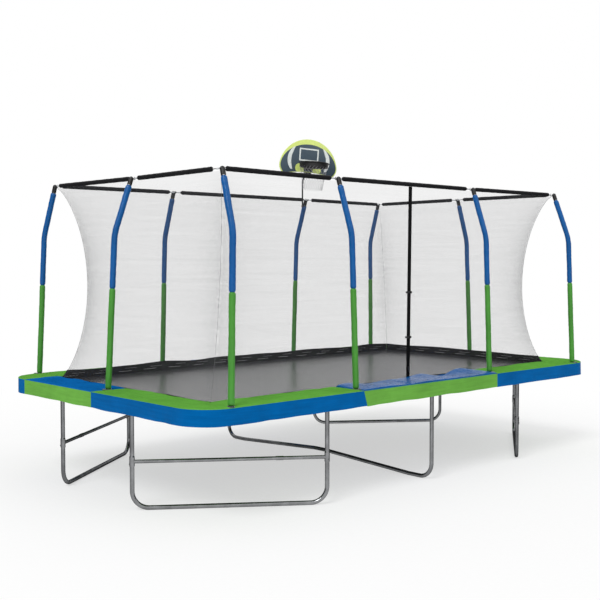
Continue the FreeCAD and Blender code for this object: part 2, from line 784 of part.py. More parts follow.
def spring(edge, out, reach):
    """A barrel-shaped spring with a hook stem at each end, from the V-ring to the rail."""
    z = MAT_BOTTOM + MAT_THICKNESS / 2
    sink = RAIL_Z - z
    rail_face = math.sqrt(RAIL_R**2 - sink**2)
    start = VRING_DEPTH + SEAT_GAP
    end = reach - rail_face - SPRING_RAIL_GAP
    long = end - start
    hook, shoulder = SPRING_HOOK, SPRING_SHOULDER
    profile = [
        (0, 0),
        (SPRING_HOOK_R, 0),
        (SPRING_HOOK_R, hook - shoulder),
        (SPRING_R, hook),
        (SPRING_R, long - hook),
        (SPRING_HOOK_R, long - hook + shoulder),
        (SPRING_HOOK_R, long),
        (0, long),
    ]
    solid = turned(profile, V(0, 0, 0))
    solid.rotate(V(0, 0, 0), V(0, 1, 0), 90)
    solid.rotate(V(0, 0, 0), UP, math.degrees(math.atan2(out.y, out.x)))
    solid.translate(edge + out * start + V(0, 0, z))
    return solid


def make_springs():
    """V-rings and springs, all round."""
    places = spring_places()
    save(together([v_ring(edge, out) for edge, out, reach in places]), "mat_v_rings")
    save(together([spring(edge, out, reach) for edge, out, reach in places]), "mat_springs")


# Pads


def pad_outline(half_x, half_y, radius, z):
    """A rectangle with rounded corners as a face."""
    box = Part.makeBox(2 * half_x, 2 * half_y, PAD_THICKNESS, V(-half_x, -half_y, z))
    if radius > 0:
        upright = [e for e in box.Edges if abs(e.tangentAt(e.FirstParameter).z) > 0.9]
        box = box.makeFillet(radius, upright)
    return [f for f in box.Faces if f.normalAt(0, 0).z < -0.9][0]


def pad_ring():
    """All pads and skirts as one ring, before it is cut into its sections."""
    ox, oy = FRAME_HALF_X + PAD_OVERHANG, FRAME_HALF_Y + PAD_OVERHANG
    radius = FRAME_CORNER_R + PAD_OVERHANG
    slab = pad_outline(ox, oy, radius, PAD_BOTTOM).extrude(UP * PAD_THICKNESS)
    rim = [e for e in slab.Edges if abs(e.CenterOfMass.z - PAD_TOP) < 0.01]
    slab = slab.makeFillet(PAD_ROUNDING, rim)
    hole = pad_outline(PAD_INNER_X, PAD_INNER_Y, 0, PAD_BOTTOM).extrude(UP * PAD_THICKNESS)
    slab = slab.cut(hole)
    skirt_top = PAD_BOTTOM + PAD_ROUNDING
    drop = skirt_top - SKIRT_BOTTOM
    grow = SKIRT_OUT
    outside = pad_outline(ox + grow, oy + grow, radius + grow, SKIRT_BOTTOM).extrude(UP * drop)
    t = SKIRT_THICKNESS - grow
    inside = pad_outline(ox - t, oy - t, radius - t, SKIRT_BOTTOM).extrude(UP * drop)
    skirt = outside.cut(inside)
    return slab.fuse(skirt).removeSplitter()


def wedge(points):
    """An upright prism over a plan outline, tall enough to take in the pads."""
    ring = [V(x, y, SKIRT_BOTTOM - PAD_THICKNESS) for x, y in points]
    height = PAD_TOP - SKIRT_BOTTOM + 2 * PAD_THICKNESS
    return Part.Face(Part.makePolygon(ring + [ring[0]])).extrude(UP * height)


def pad_sections():
    """The plan outline of each section, cut straight across the border.

    The front sections and the back ones wrap round their corners.
    """
    g = PAD_SEAM_GAP / 2
    seam = SIDE_POLE_X
    far = 2 * (SPRING_SPAN + PAD_OVERHANG)
    ix, iy = PAD_INNER_X, PAD_INNER_Y
    far_x, far_y = ix + far, iy + far
    within = MAT_CUT  # the cuts reach this far in over the mat
    end_seam = MAT_HALF_Y  # a little short of the inner corner
    sections = {}
    for side, s in (("left", -1), ("right", 1)):
        sections[f"pad_front_{side}_corner"] = [
            (s * (seam + g), -far_y), (s * far_x, -far_y), (s * far_x, -g), (s * (seam + g), -g)
        ]
        sections[f"pad_{side}_end"] = [
            (s * (ix - within), g), (s * far_x, g),
            (s * far_x, end_seam - g), (s * (ix - within), end_seam - g)
        ]
        sections[f"pad_back_{side}"] = [
            (s * (seam + g), end_seam + g), (s * far_x, end_seam + g),
            (s * far_x, far_y), (s * (seam + g), far_y)
        ]
    for side, s in (("front", -1), ("back", 1)):
        sections[f"pad_{side}_middle"] = [
            (-seam + g, s * (iy - within)), (seam - g, s * (iy - within)),
            (seam - g, s * far_y), (-seam + g, s * far_y)
        ]
    return sections


def make_pads():
    """Eight pad sections with the holes that the poles pass through."""
    ring = pad_ring()
    holes = [leaning_bore(pole, POLE_R + POLE_HOLE_CLEAR) for pole in POLES]
    ring = ring.cut(holes)
    for name, outline in pad_sections().items():
        save(ring.common(wedge(outline)), name)


# Net


def net_corner(sx, sy):
    """Foot of the net at a corner of the mat."""
    return V(sx * (MAT_HALF_X - NET_CORNER_INSET), sy * (MAT_HALF_Y - NET_CORNER_INSET), 0)


def net_column(pole):
    """(foot, top, inward direction, waist) of the net's line that hangs from a pole's hook."""
    if "corner" in pole.name:
        foot = net_corner(pole.sx, pole.sy)
        inward = V(-pole.sx, -pole.sy, 0).normalize()
        return foot, pole.ring, inward, NET_WAIST_CORNER
    if pole.y == 0:
        foot = V(pole.sx * (MAT_HALF_X - NET_INSET), 0, 0)
        return foot, pole.ring, V(-pole.sx, 0, 0), NET_WAIST_END
    foot = V(pole.ring.x, pole.sy * (MAT_HALF_Y - NET_INSET), 0)
    return foot, pole.ring, V(0, -pole.sy, 0), NET_WAIST_SIDE


def waist(u):
    """How far in the net is drawn at a share u of its height: none at foot and top, most in the middle.

    Between the net's stations the share is straight, so that what lies on the net follows it.
    """
    spans = NET_STATIONS - 1
    lower = min(int(u * spans), spans - 1)
    ends = [max(4 * k / spans * (1 - k / spans), 0.0) ** 0.75 for k in (lower, lower + 1)]
    return ends[0] + (ends[1] - ends[0]) * (u * spans - lower)


def net_point(pole, z, shift=0.0):
    """Where the net's line at a pole lies at a height, moved outward by shift."""
    foot, top, inward, depth = net_column(pole)
    u = (z - NET_FOOT_Z) / (NET_TOP_Z - NET_FOOT_Z)
    x = foot.x + (top.x - foot.x) * u
    y = foot.y + (top.y - foot.y) * u
    move = inward * (depth * waist(u) - shift)
    return V(x + move.x, y + move.y, z)


def ribbon(poles, z, inner, outer):
    """A thin horizontal outline that follows the net through the poles' lines at one height."""
    scale = {p.name: math.sqrt(2) if "corner" in p.name else 1.0 for p in poles}
    out = [net_point(p, z, outer * scale[p.name]) for p in poles]
    back = [net_point(p, z, inner * scale[p.name]) for p in reversed(poles)]
    points = out + back
    return Part.makePolygon(points + [points[0]])


def net_wall(poles, low, high, stations, inner, outer):
    """A wall of cloth through stations from low to high, straight between the poles' lines."""
    heights = [low + (high - low) * i / (stations - 1) for i in range(stations)]
    return Part.makeLoft([ribbon(poles, z, inner, outer) for z in heights], True, True)


NET_SIDES = {
    "front": [POLES[i] for i in (0, 1, 2, 3)],
    "right": [POLES[i] for i in (3, 4, 5)],
    "back": [POLES[i] for i in (5, 6, 7, 8)],
    "left": [POLES[i] for i in (8, 9, 0)],
}


def make_net():
    """Four walls of net, and the solid band along its foot."""
    half = NET_THICKNESS / 2
    bands = []
    for side, poles in NET_SIDES.items():
        save(net_wall(poles, NET_FOOT_Z, NET_TOP_Z, NET_STATIONS, -half, half), f"net_{side}")
        rise = BAND_LOW_HEIGHT if side in ("front", "left") else BAND_HEIGHT
        low, high = NET_FOOT_Z, NET_FOOT_Z + rise
        bands.append(net_wall(poles, low, high, 3, half + SEAT_GAP, half + SEAT_GAP + BAND_THICKNESS))
    save(together(bands), "net_foot_band")


# Zip entrance


def front_net_y(x, z):
    """The net's middle surface between the two front middle poles."""
    left, right = net_point(POLES[1], z), net_point(POLES[2], z)
    share = (x - left.x) / (right.x - left.x)
    return left.y + (right.y - left.y) * share


def on_net(x, z, clear):
    """A point of the front net's outer side, clear of it by a distance."""
    return V(x, front_net_y(x, z) - NET_THICKNESS / 2 - clear, z)


def on_tape(shape, z):
    """Put a piece drawn about the origin on the tape's face: -y points out and z runs up the tape."""
    low, high = on_net(ZIP_X, NET_FOOT_Z, 0), on_net(ZIP_X, NET_TOP_Z, 0)
    lean = math.degrees(math.atan2(low.y - high.y, high.z - low.z))
    out = shape.copy()
    out.rotate(V(0, 0, 0), V(1, 0, 0), lean)
    out.translate(on_net(ZIP_X, z, SEAT_GAP + ZIP_THICKNESS + SEAT_GAP))
    return out


def zip_tape():
    """The tape, a flat strip from the foot band to the top of the net."""
    low, high = NET_FOOT_Z + BAND_LOW_HEIGHT + ZIP_END_GAP, NET_TOP_Z - ZIP_END_GAP
    wires = []
    for z in (low, high):
        back, front = on_net(ZIP_X, z, SEAT_GAP).y, on_net(ZIP_X, z, SEAT_GAP + ZIP_THICKNESS).y
        x0, x1 = ZIP_X - ZIP_WIDTH / 2, ZIP_X + ZIP_WIDTH / 2
        points = [V(x0, front, z), V(x1, front, z), V(x1, back, z), V(x0, back, z)]
        wires.append(Part.makePolygon(points + [points[0]]))
    return Part.makeLoft(wires, True, True)


def zip_slider():
    """The slider's body, with two lugs and the pin that its pull hangs from."""
    w, d = SLIDER_WIDTH / 2, SLIDER_DEPTH
    body = box_between(V(-w, -d, 0), V(w, 0, SLIDER_HEIGHT))
    upright = [e for e in body.Edges if abs(e.tangentAt(e.FirstParameter).z) > 0.9]
    body = body.makeFillet(SLIDER_CORNER_R, upright)
    reach = PIN_OUT + PIN_R + LUG_RIM
    lugs = [
        box_between(V(x, -reach, PIN_UP - LUG_HALF), V(x + LUG_THICKNESS, -d / 2, PIN_UP + LUG_HALF))
        for x in (-w, w - LUG_THICKNESS)
    ]
    inside = w - LUG_THICKNESS / 2
    pin = rod(V(-inside, -PIN_OUT, PIN_UP), V(inside, -PIN_OUT, PIN_UP), PIN_R)
    return body.fuse(lugs + [pin])


def zip_pull():
    """The pull: an eye on the pin, a narrow neck and a rounded tab."""
    gap = SLIDER_WIDTH - 2 * LUG_THICKNESS
    half = gap / 2 - EYE_SIDE_GAP
    eye_r = PIN_R + PIN_CLEAR + EYE_WALL
    eye = rod(V(-half, -PIN_OUT, PIN_UP), V(half, -PIN_OUT, PIN_UP), eye_r)
    t = PULL_THICKNESS / 2
    neck_low = PIN_UP - PULL_NECK
    strap = box_between(V(-half, -PIN_OUT - t, neck_low - EYE_WALL), V(half, -PIN_OUT + t, PIN_UP))
    low = PIN_UP - PULL_LENGTH
    tab = box_between(V(-PULL_WIDTH / 2, -PIN_OUT - t, low), V(PULL_WIDTH / 2, -PIN_OUT + t, neck_low))
    ends = [e for e in tab.Edges if abs(e.tangentAt(e.FirstParameter).y) > 0.9]
    tab = tab.makeFillet(PULL_CORNER_R, ends)
    bore = rod(V(-gap / 2, -PIN_OUT, PIN_UP), V(gap / 2, -PIN_OUT, PIN_UP), PIN_R + PIN_CLEAR)
    return eye.fuse([strap, tab]).cut(bore)


def webbing(side, start):
    """A strap from a buckle's end that slants back to the net and lies on it."""
    net_face = ZIP_THICKNESS + SEAT_GAP
    top = -BUCKLE_OFF - BUCKLE_DEPTH / 2
    x0, x1 = start, start + side * WEBBING_DROP
    x2 = x1 + side * WEBBING_LIE
    t = WEBBING
    points = [
        V(x0, top - t / 2, 0), V(x1, net_face - t, 0), V(x2, net_face - t, 0),
        V(x2, net_face, 0), V(x1, net_face, 0), V(x0, top + t / 2, 0),
    ]
    face = Part.Face(Part.makePolygon(points + [points[0]]))
    strap = face.extrude(UP * WEBBING_WIDTH)
    strap.translate(V(0, 0, -WEBBING_WIDTH / 2))
    return strap


def buckle_block(x0, x1):
    """A buckle half's outer body, with rounded corners."""
    low, high = -BUCKLE_OFF - BUCKLE_DEPTH, -BUCKLE_OFF
    h = BUCKLE_HEIGHT / 2
    block = box_between(V(x0, low, -h), V(x1, high, h))
    corners = [e for e in block.Edges if abs(e.tangentAt(e.FirstParameter).y) > 0.9]
    return block.makeFillet(BUCKLE_CORNER_R, corners)


def buckle_cavity(x0, x1, clear):
    """The room inside the socket, or the tongue when it is drawn smaller by a clearance."""
    low, high = -BUCKLE_OFF - BUCKLE_DEPTH + BUCKLE_WALL, -BUCKLE_OFF - BUCKLE_WALL
    h = BUCKLE_HEIGHT / 2 - BUCKLE_WALL - BUCKLE_RAIL
    return box_between(V(x0, low + clear, -h + clear), V(x1, high - clear, h - clear))


def buckle_socket():
    """The socket half, open to the right, with its strap."""
    left = BUCKLE_SEAM - SOCKET_LENGTH
    block = buckle_block(left, BUCKLE_SEAM)
    block = block.cut(buckle_cavity(BUCKLE_SEAM - TONGUE_LENGTH - TONGUE_CLEAR, BUCKLE_SEAM + 1, 0))
    return block.fuse(webbing(-1, left + BUCKLE_WALL / 2))


def buckle_plug():
    """The plug half: body, tongue and strap."""
    left = BUCKLE_SEAM + TONGUE_CLEAR
    block = buckle_block(left, left + PLUG_LENGTH)
    tongue = buckle_cavity(BUCKLE_SEAM - TONGUE_LENGTH, left + BUCKLE_WALL, TONGUE_CLEAR)
    return block.fuse([tongue, webbing(1, left + PLUG_LENGTH - BUCKLE_WALL / 2)])


def make_zip():
    """Tape, slider, pull and buckles."""
    save(zip_tape(), "zip_tape")
    save(on_tape(zip_slider(), NET_FOOT_Z + SLIDER_UP), "zip_slider")
    save(on_tape(zip_pull(), NET_FOOT_Z + SLIDER_UP), "zip_pull")
    sockets = [on_tape(buckle_socket(), NET_FOOT_Z + up) for up in BUCKLES_UP.values()]
    save(together(sockets), "buckle_sockets")
    for name, up in BUCKLES_UP.items():
        save(on_tape(buckle_plug(), NET_FOOT_Z + up), f"buckle_plug_{name}")


# Basketball hoop


HOOP_POLE = POLES[6]


def board_foot():
    """The middle of the board's lower edge line, above and inside its pole's tip."""
    tip = HOOP_POLE.tip
    return V(tip.x - BOARD_LEFT_OF_TIP, tip.y - BOARD_IN_FROM_TIP, tip.z + BOARD_ABOVE_TIP)


def arched_board():
    """The backboard: a tall arch over rounded lower corners, with a low notch between them."""
    w, h, s = BOARD_WIDTH / 2, BOARD_HEIGHT, BOARD_SHOULDER
    c, bulge = BOARD_CORNER, BOARD_CORNER_BULGE
    a, b = V(-w, 0, s), V(w, 0, s)
    left, right = V(-w + c, 0, 0), V(w - c, 0, 0)
    edges = [
        Part.Arc(a, V(0, 0, h), b).toShape(),
        Part.Arc(b, V(w - bulge, 0, c), right).toShape(),
        Part.Arc(right, V(0, 0, BOARD_NOTCH_RISE), left).toShape(),
        Part.Arc(left, V(-w + bulge, 0, c), a).toShape(),
    ]
    return Part.Face(Part.Wire(edges)).extrude(V(0, BOARD_THICKNESS, 0))


def placed_hoop(shape):
    """Hang a piece of the hoop on its pole: a small roll, then the turn, then the place."""
    out = shape.copy()
    out.rotate(V(0, 0, BOARD_HEIGHT / 2), V(0, 1, 0), HOOP_ROLL)
    out.rotate(V(0, 0, 0), UP, HOOP_TURN)
    out.translate(board_foot())
    return out


def hoop_rim(centre):
    """The rim: a round bar on a short collar, with an arm and a plate on the board's face."""
    inner, low = RIM_R - RIM_COLLAR_IN - RIM_COLLAR_WALL, centre - UP * RIM_COLLAR
    ring = Part.makeTorus(RIM_R, RIM_TUBE_R, centre)
    collar = Part.makeCylinder(RIM_R - RIM_COLLAR_IN, RIM_COLLAR, low)
    t, p, a = RIM_PLATE_THICKNESS, RIM_PLATE_HALF, RIM_ARM_HALF
    plate = box_between(
        V(-p, -SEAT_GAP - t, RIM_UP - RIM_PLATE_BELOW), V(p, -SEAT_GAP, RIM_UP + RIM_PLATE_ABOVE)
    )
    arm = box_between(V(-a, -RIM_CLEAR - 2 * t, RIM_UP - RIM_COLLAR), V(a, -t, RIM_UP + t))
    way = Part.makeCylinder(inner, 4 * RIM_COLLAR, centre - UP * 2 * RIM_COLLAR)
    return ring.fuse([collar, plate, arm]).cut(way)


def hoop_net(centre):
    """The net: a thin cone from inside the rim's collar down to its open foot."""
    top_r = RIM_R - RIM_COLLAR_IN - RIM_COLLAR_WALL - SEAT_GAP
    t, length = HOOP_NET_THICKNESS, HOOP_NET_LENGTH
    net = Part.makeCone(HOOP_NET_FOOT_R, top_r, length)
    net = net.cut(Part.makeCone(HOOP_NET_FOOT_R - t, top_r - t, length))
    net.translate(centre - UP * (RIM_COLLAR + length - HOOP_NET_LAP))
    return net


def hoop_bracket():
    """The stem from a clamp on the pole up to a plate behind the board."""
    pole, foot_point = HOOP_POLE, board_foot()
    down = (pole.bend - pole.tip).normalize()
    grip = pole.tip + down * CLAMP_DOWN
    half = down * CLAMP_HALF
    collar = rod(grip - half, grip + half, POLE_R + CLAMP_FIT + CLAMP_WALL)
    bore = rod(grip - half * 2, grip + half * 2, POLE_R + CLAMP_FIT)
    low = grip - V(POLE_R + CLAMP_WALL + STEM_R, 0, 0)
    hub = rod(low - half, low + half, STEM_R + HUB_WALL)
    behind = BOARD_THICKNESS + SEAT_GAP
    turn = V(low.x, low.y, foot_point.z - STEM_BEND_BELOW_BOARD)
    top = foot_point + V(0, BOARD_THICKNESS + STEM_BEHIND_BOARD, STEM_UP)
    stem = swept(rounded_path([low, turn, top], [STEM_BEND_R]), STEM_R)
    plate = box_between(
        V(-PLATE_HALF, behind, PLATE_LOW), V(PLATE_HALF, behind + PLATE_THICKNESS, PLATE_HIGH)
    )
    foot = box_between(
        V(-FOOT_HALF, behind + PLATE_THICKNESS / 2, FOOT_LOW),
        V(FOOT_HALF, behind + FOOT_DEPTH + SEAT_GAP, FOOT_HIGH),
    )
    return collar.fuse([hub, stem, placed_hoop(plate.fuse(foot))]).cut(bore)


def make_hoop():
    """Backboard, rim, net and the bracket that clamps to the pole."""
    centre = V(0, -RIM_CLEAR - RIM_R, RIM_UP)
    save(placed_hoop(arched_board()), "hoop_backboard")
    save(placed_hoop(hoop_rim(centre)), "hoop_rim")
    save(placed_hoop(hoop_net(centre)), "hoop_net")
    save(hoop_bracket(), "hoop_bracket")


make_frame()
make_legs()
make_poles()
make_ring()
make_mat()
make_springs()
make_pads()
make_net()
make_zip()
make_hoop()
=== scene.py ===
"""The looks of a rectangular trampoline with an enclosure net and a basketball hoop.

All sizes are in metres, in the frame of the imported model: +X along the long side, +Y along the short
side away from the entrance, +Z up, the ground at 0.
"""

import math

import bmesh
import bpy
import numpy as np
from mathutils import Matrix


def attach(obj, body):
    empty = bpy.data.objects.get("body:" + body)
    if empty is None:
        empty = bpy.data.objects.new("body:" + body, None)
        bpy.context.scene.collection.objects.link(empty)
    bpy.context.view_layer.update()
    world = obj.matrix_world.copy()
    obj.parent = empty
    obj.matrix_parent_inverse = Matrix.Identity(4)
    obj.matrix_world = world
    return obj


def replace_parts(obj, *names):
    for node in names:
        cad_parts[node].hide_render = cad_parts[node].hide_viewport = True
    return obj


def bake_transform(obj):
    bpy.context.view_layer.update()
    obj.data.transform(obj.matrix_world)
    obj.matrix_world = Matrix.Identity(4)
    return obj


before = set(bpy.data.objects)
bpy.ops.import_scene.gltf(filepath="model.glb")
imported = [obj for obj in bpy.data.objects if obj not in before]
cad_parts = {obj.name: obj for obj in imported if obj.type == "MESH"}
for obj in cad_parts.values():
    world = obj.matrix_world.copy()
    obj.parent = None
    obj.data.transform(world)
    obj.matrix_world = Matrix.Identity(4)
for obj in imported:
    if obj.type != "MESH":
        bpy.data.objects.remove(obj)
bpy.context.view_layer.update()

UP = np.array([0.0, 0.0, 1.0])

# Frame, mat and pads: half sizes in plan and heights
FRAME_X, FRAME_Y, RAIL_Z = 2.68, 1.51, 0.885
FRAME_R = 0.26  # bend of the frame's corners
MAT_X, MAT_Y, MAT_TOP, MAT_UNDER = 2.37, 1.20, 0.897, 0.893
MAT_CUT = 0.05
MAT_BORDER = 0.04
SPRING_SPAN, SPRING_PITCH = 0.31, 0.155
PAD_X, PAD_Y, PAD_R = 2.72, 1.55, 0.30
PAD_IN_X, PAD_IN_Y = 2.374, 1.204
PAD_LOW, PAD_TOP = 0.908, 0.935
SKIRT_TOP, SKIRT_LOW = 0.925, 0.791
SEAM_X = 0.965  # where the pads of the long sides meet

# Poles: their tubes, sleeves and heights
POLE_R, SLEEVE_R = 0.019, 0.0275
SLEEVE_LOW, COLOUR_CHANGE, BEND_Z, TIP_Z = 0.937, 1.809, 2.286, 2.774
SLEEVE_SHORT = 0.068  # from the blue sleeve's end to the pole's tip
POLE_BEND_R = 0.42
# By kind of pole: the inward lean for each metre of height, and the step of the tip past the bend
KINDS = {
    "corner": dict(lean=(0.035, 0.024), tip=(0.033, 0.169)),
    "side": dict(lean=(0.0, 0.039), tip=(0.0, 0.167)),
    "end": dict(lean=(0.056, 0.0), tip=(0.175, 0.0)),
}
# Kind and place of each pole at the pads' top, round from the front left corner
POLE_PLACES = [
    ("corner", -2.40, -1.51), ("side", -0.965, -1.455), ("side", 0.965, -1.455), ("corner", 2.40, -1.51),
    ("end", 2.551, 0.0), ("corner", 2.40, 1.51), ("side", 0.965, 1.455), ("side", -0.965, 1.455),
    ("corner", -2.40, 1.51), ("end", -2.551, 0.0),
]

# Top ring
RING_IN = 0.028  # from a pole's tip to the line that the hook holds
RING_SLEEVE_R, RING_BORE_R, RING_LINE_R = 0.021, 0.006, 0.004
RING_GAPS = {"corner": 0.045, "side": 0.062, "end": 0.062}
RING_SLIPPED = {9: 0.06, 3: 0.03}  # sleeves, by number, whose far end has crept back from its pole

# Net
NET_FOOT, NET_TOP = 0.8988, 2.7545
NET_INSET, NET_CORNER_INSET = 0.015, 0.012
NET_WAIST = {"corner": 0.285, "side": 0.0, "end": 0.03}
NET_THICKNESS, NET_SEAM_R, HEM_R = 0.0012, 0.0012, 0.0075
BAND_HEIGHTS = {"front": 0.028, "left": 0.028, "right": 0.086, "back": 0.086}
BAND_OUT, BAND_THICKNESS = 0.0045, 0.003
ZIP_X = 0.03


# Arrays and meshes


def xyz(x, y, z=0.0):
    """Points from coordinates that broadcast to one shape."""
    return np.stack(np.broadcast_arrays(x, y, z), -1)


def around(count):
    """Evenly spaced angles of a full turn."""
    return np.linspace(0, 2 * math.pi, count, endpoint=False)


def unit(v):
    """Vectors along the last axis, each divided by its length."""
    return v / np.linalg.norm(v, axis=-1, keepdims=True)


def smooth(t):
    """The smooth step 3t^2 - 2t^3 of t held between 0 and 1."""
    t = np.clip(t, 0, 1)
    return t * t * (3 - 2 * t)


def ripples(u, v, seed, waves, reach, lean=1.0):
    """A sum of seeded sine waves over (u, v) in metres: lengths within reach, turned by up to lean."""
    rng = np.random.default_rng(seed)
    total = np.zeros(np.broadcast(u, v).shape)
    for _ in range(waves):
        length = rng.uniform(*reach)
        turn = rng.uniform(-lean, lean) * math.pi / 2
        k = 2 * math.pi / length
        total += np.sin(k * (math.cos(turn) * u + math.sin(turn) * v) + rng.uniform(0, 2 * math.pi))
    return total / math.sqrt(waves)


def quads(count, rows, cols, wrap_rows, wrap_cols, flip):
    """Vertex numbers of all quads of count grids, and the grid place of each corner."""
    r = np.arange(rows if wrap_rows else rows - 1)
    c = np.arange(cols if wrap_cols else cols - 1)
    r, c = np.meshgrid(r, c, indexing="ij")
    places = np.stack([np.stack([r, c], -1), np.stack([r + 1, c], -1),
                       np.stack([r + 1, c + 1], -1), np.stack([r, c + 1], -1)], -2).reshape(-1, 4, 2)
    if flip:
        places = places[:, ::-1]
    ids = places[..., 0] % rows * cols + places[..., 1] % cols
    ids = ids[None] + (np.arange(count) * rows * cols)[:, None, None]
    return ids.reshape(-1, 4), np.broadcast_to(places, (count, *places.shape)).reshape(-1, 4, 2)


def metres(rows, cols):
    """UVs of a grid from the metres of its rows and columns."""
    return np.stack(np.meshgrid(rows, cols, indexing="ij"), -1)


def patch(points, wrap_rows=False, wrap_cols=False, flip=False, uv=None, ends=False):
    """One or many grids of points (..., rows, columns, 3); faces look along rows' step x columns' step.

    uv gives metres along rows and columns for each place, one more of each where the grid wraps.
    ends closes the first and last row of a tube with one face each.
    """
    points = np.asarray(points, float)
    rows, cols = points.shape[-3:-1]
    flat = points.reshape(-1, 3)
    count = len(flat) // (rows * cols)
    faces, places = quads(count, rows, cols, wrap_rows, wrap_cols, flip)
    if uv is None:
        uv = metres(np.arange(rows + 1.0), np.arange(cols + 1.0))
    coords = uv[places[..., 0] % uv.shape[0], places[..., 1] % uv.shape[1]].reshape(-1, 2)
    caps = []
    if ends:
        base = (np.arange(count) * rows * cols)[:, None]
        first, last = base + np.arange(cols), base + (rows - 1) * cols + np.arange(cols)[::-1]
        caps = [*(first[:, ::-1] if flip else first).tolist(), *(last[:, ::-1] if flip else last).tolist()]
    return flat, faces.tolist(), coords, caps


def in_scene(name, data):
    """A new object in the scene for a mesh, a lamp or the camera."""
    out = bpy.data.objects.new(name, data)
    bpy.context.scene.collection.objects.link(out)
    return out


def piece(name, patches, material, body="root", shade_flat=False):
    """One mesh object from patches, riding on a body."""
    verts, faces, uvs, caps, start = [], [], [], [], 0
    for flat, quad, coords, cap in patches:
        verts.append(flat)
        faces += [[i + start for i in f] for f in quad]
        uvs.append(coords)
        caps += [[i + start for i in f] for f in cap]
        start += len(flat)
    mesh = bpy.data.meshes.new(name)
    mesh.from_pydata(np.concatenate(verts).tolist(), [], faces + caps)
    layer = mesh.uv_layers.new(name="UVMap")
    all_uv = np.concatenate(uvs)
    all_uv = np.concatenate([all_uv, np.zeros((len(mesh.loops) - len(all_uv), 2))])
    layer.data.foreach_set("uv", all_uv.astype(np.float32).ravel())
    mesh.polygons.foreach_set("use_smooth", [not shade_flat] * len(mesh.polygons))
    mesh.validate()
    out = in_scene(name, mesh)
    mesh.materials.append(material)
    if body:
        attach(out, body)
    return out


def tube(path, radius, sides, ref=UP, closed=False):
    """A round section carried along paths (..., m, 3): centre + radius (cos a * side + sin a * over).

    radius is one number, one for each point of the path, or one for each point of the surface.
    """
    path = np.asarray(path, float)
    if closed:
        tangent = np.roll(path, -1, -2) - np.roll(path, 1, -2)
    else:
        tangent = np.gradient(path, axis=-2)
    tangent = unit(tangent)
    side = unit(np.cross(tangent, ref))
    over = np.cross(side, tangent)
    a = around(sides)
    ring = side[..., None, :] * np.cos(a)[:, None] + over[..., None, :] * np.sin(a)[:, None]
    radius = np.asarray(radius, float)
    if radius.ndim < 2:
        radius = np.broadcast_to(radius, path.shape[:-1])[..., None]
    return path[..., None, :] + radius[..., None] * ring


def run_length(path):
    """Distance along each point of a path."""
    step = np.linalg.norm(np.diff(path, axis=-2), axis=-1)
    return np.concatenate([np.zeros((*step.shape[:-1], 1)), np.cumsum(step, -1)], -1)


def tube_uv(path, radius, sides):
    """Metres along the path and round the section."""
    return metres(run_length(path), np.arange(sides + 1) * (2 * math.pi * radius / sides))


def strand(path, radius, sides=6, ref=UP):
    """A closed round strand along one path, with metres along and round it as its UVs."""
    return patch(tube(path, radius, sides, ref), wrap_cols=True, ends=True, uv=tube_uv(path, radius, sides))


def bow(a, b, c, t):
    """A curve that leaves a towards b and arrives at c: a (1 - t)^2 + 2 b t (1 - t) + c t^2."""
    return a * (1 - t) ** 2 + b * 2 * t * (1 - t) + c * t**2


def shell(front, back, uv, flip):
    """A closed sheet between two grids of one shape, joined round their edges."""
    rim = np.concatenate([
        np.stack([front[0], back[0]], 1), np.stack([front[1:, -1], back[1:, -1]], 1),
        np.stack([front[-1, -2::-1], back[-1, -2::-1]], 1),
        np.stack([front[-2:0:-1, 0], back[-2:0:-1, 0]], 1),
    ])
    return [patch(front, uv=uv, flip=flip), patch(back, uv=uv, flip=not flip),
            patch(rim, wrap_rows=True, flip=flip)]


def thin(points, outward, thickness, uv, flip=False):
    """A closed thin sheet: the grid moved out and in by half its thickness."""
    half = outward * (thickness / 2)
    return shell(points + half, points - half, uv, flip)


def edited(mesh, change):
    """Makes one change to a mesh by way of bmesh."""
    b = bmesh.new()
    b.from_mesh(mesh)
    change(b)
    b.to_mesh(mesh)
    b.free()


def weld(obj):
    """Joins points that coincide, so that seams and rims are closed."""
    edited(obj.data, lambda b: bmesh.ops.remove_doubles(b, verts=b.verts, dist=1e-5))
    obj.data.set_sharp_from_angle(angle=math.radians(40))


def outwards(obj):
    """Turns all faces of a closed mesh outward."""
    edited(obj.data, lambda b: bmesh.ops.recalc_face_normals(b, faces=b.faces))


# Materials


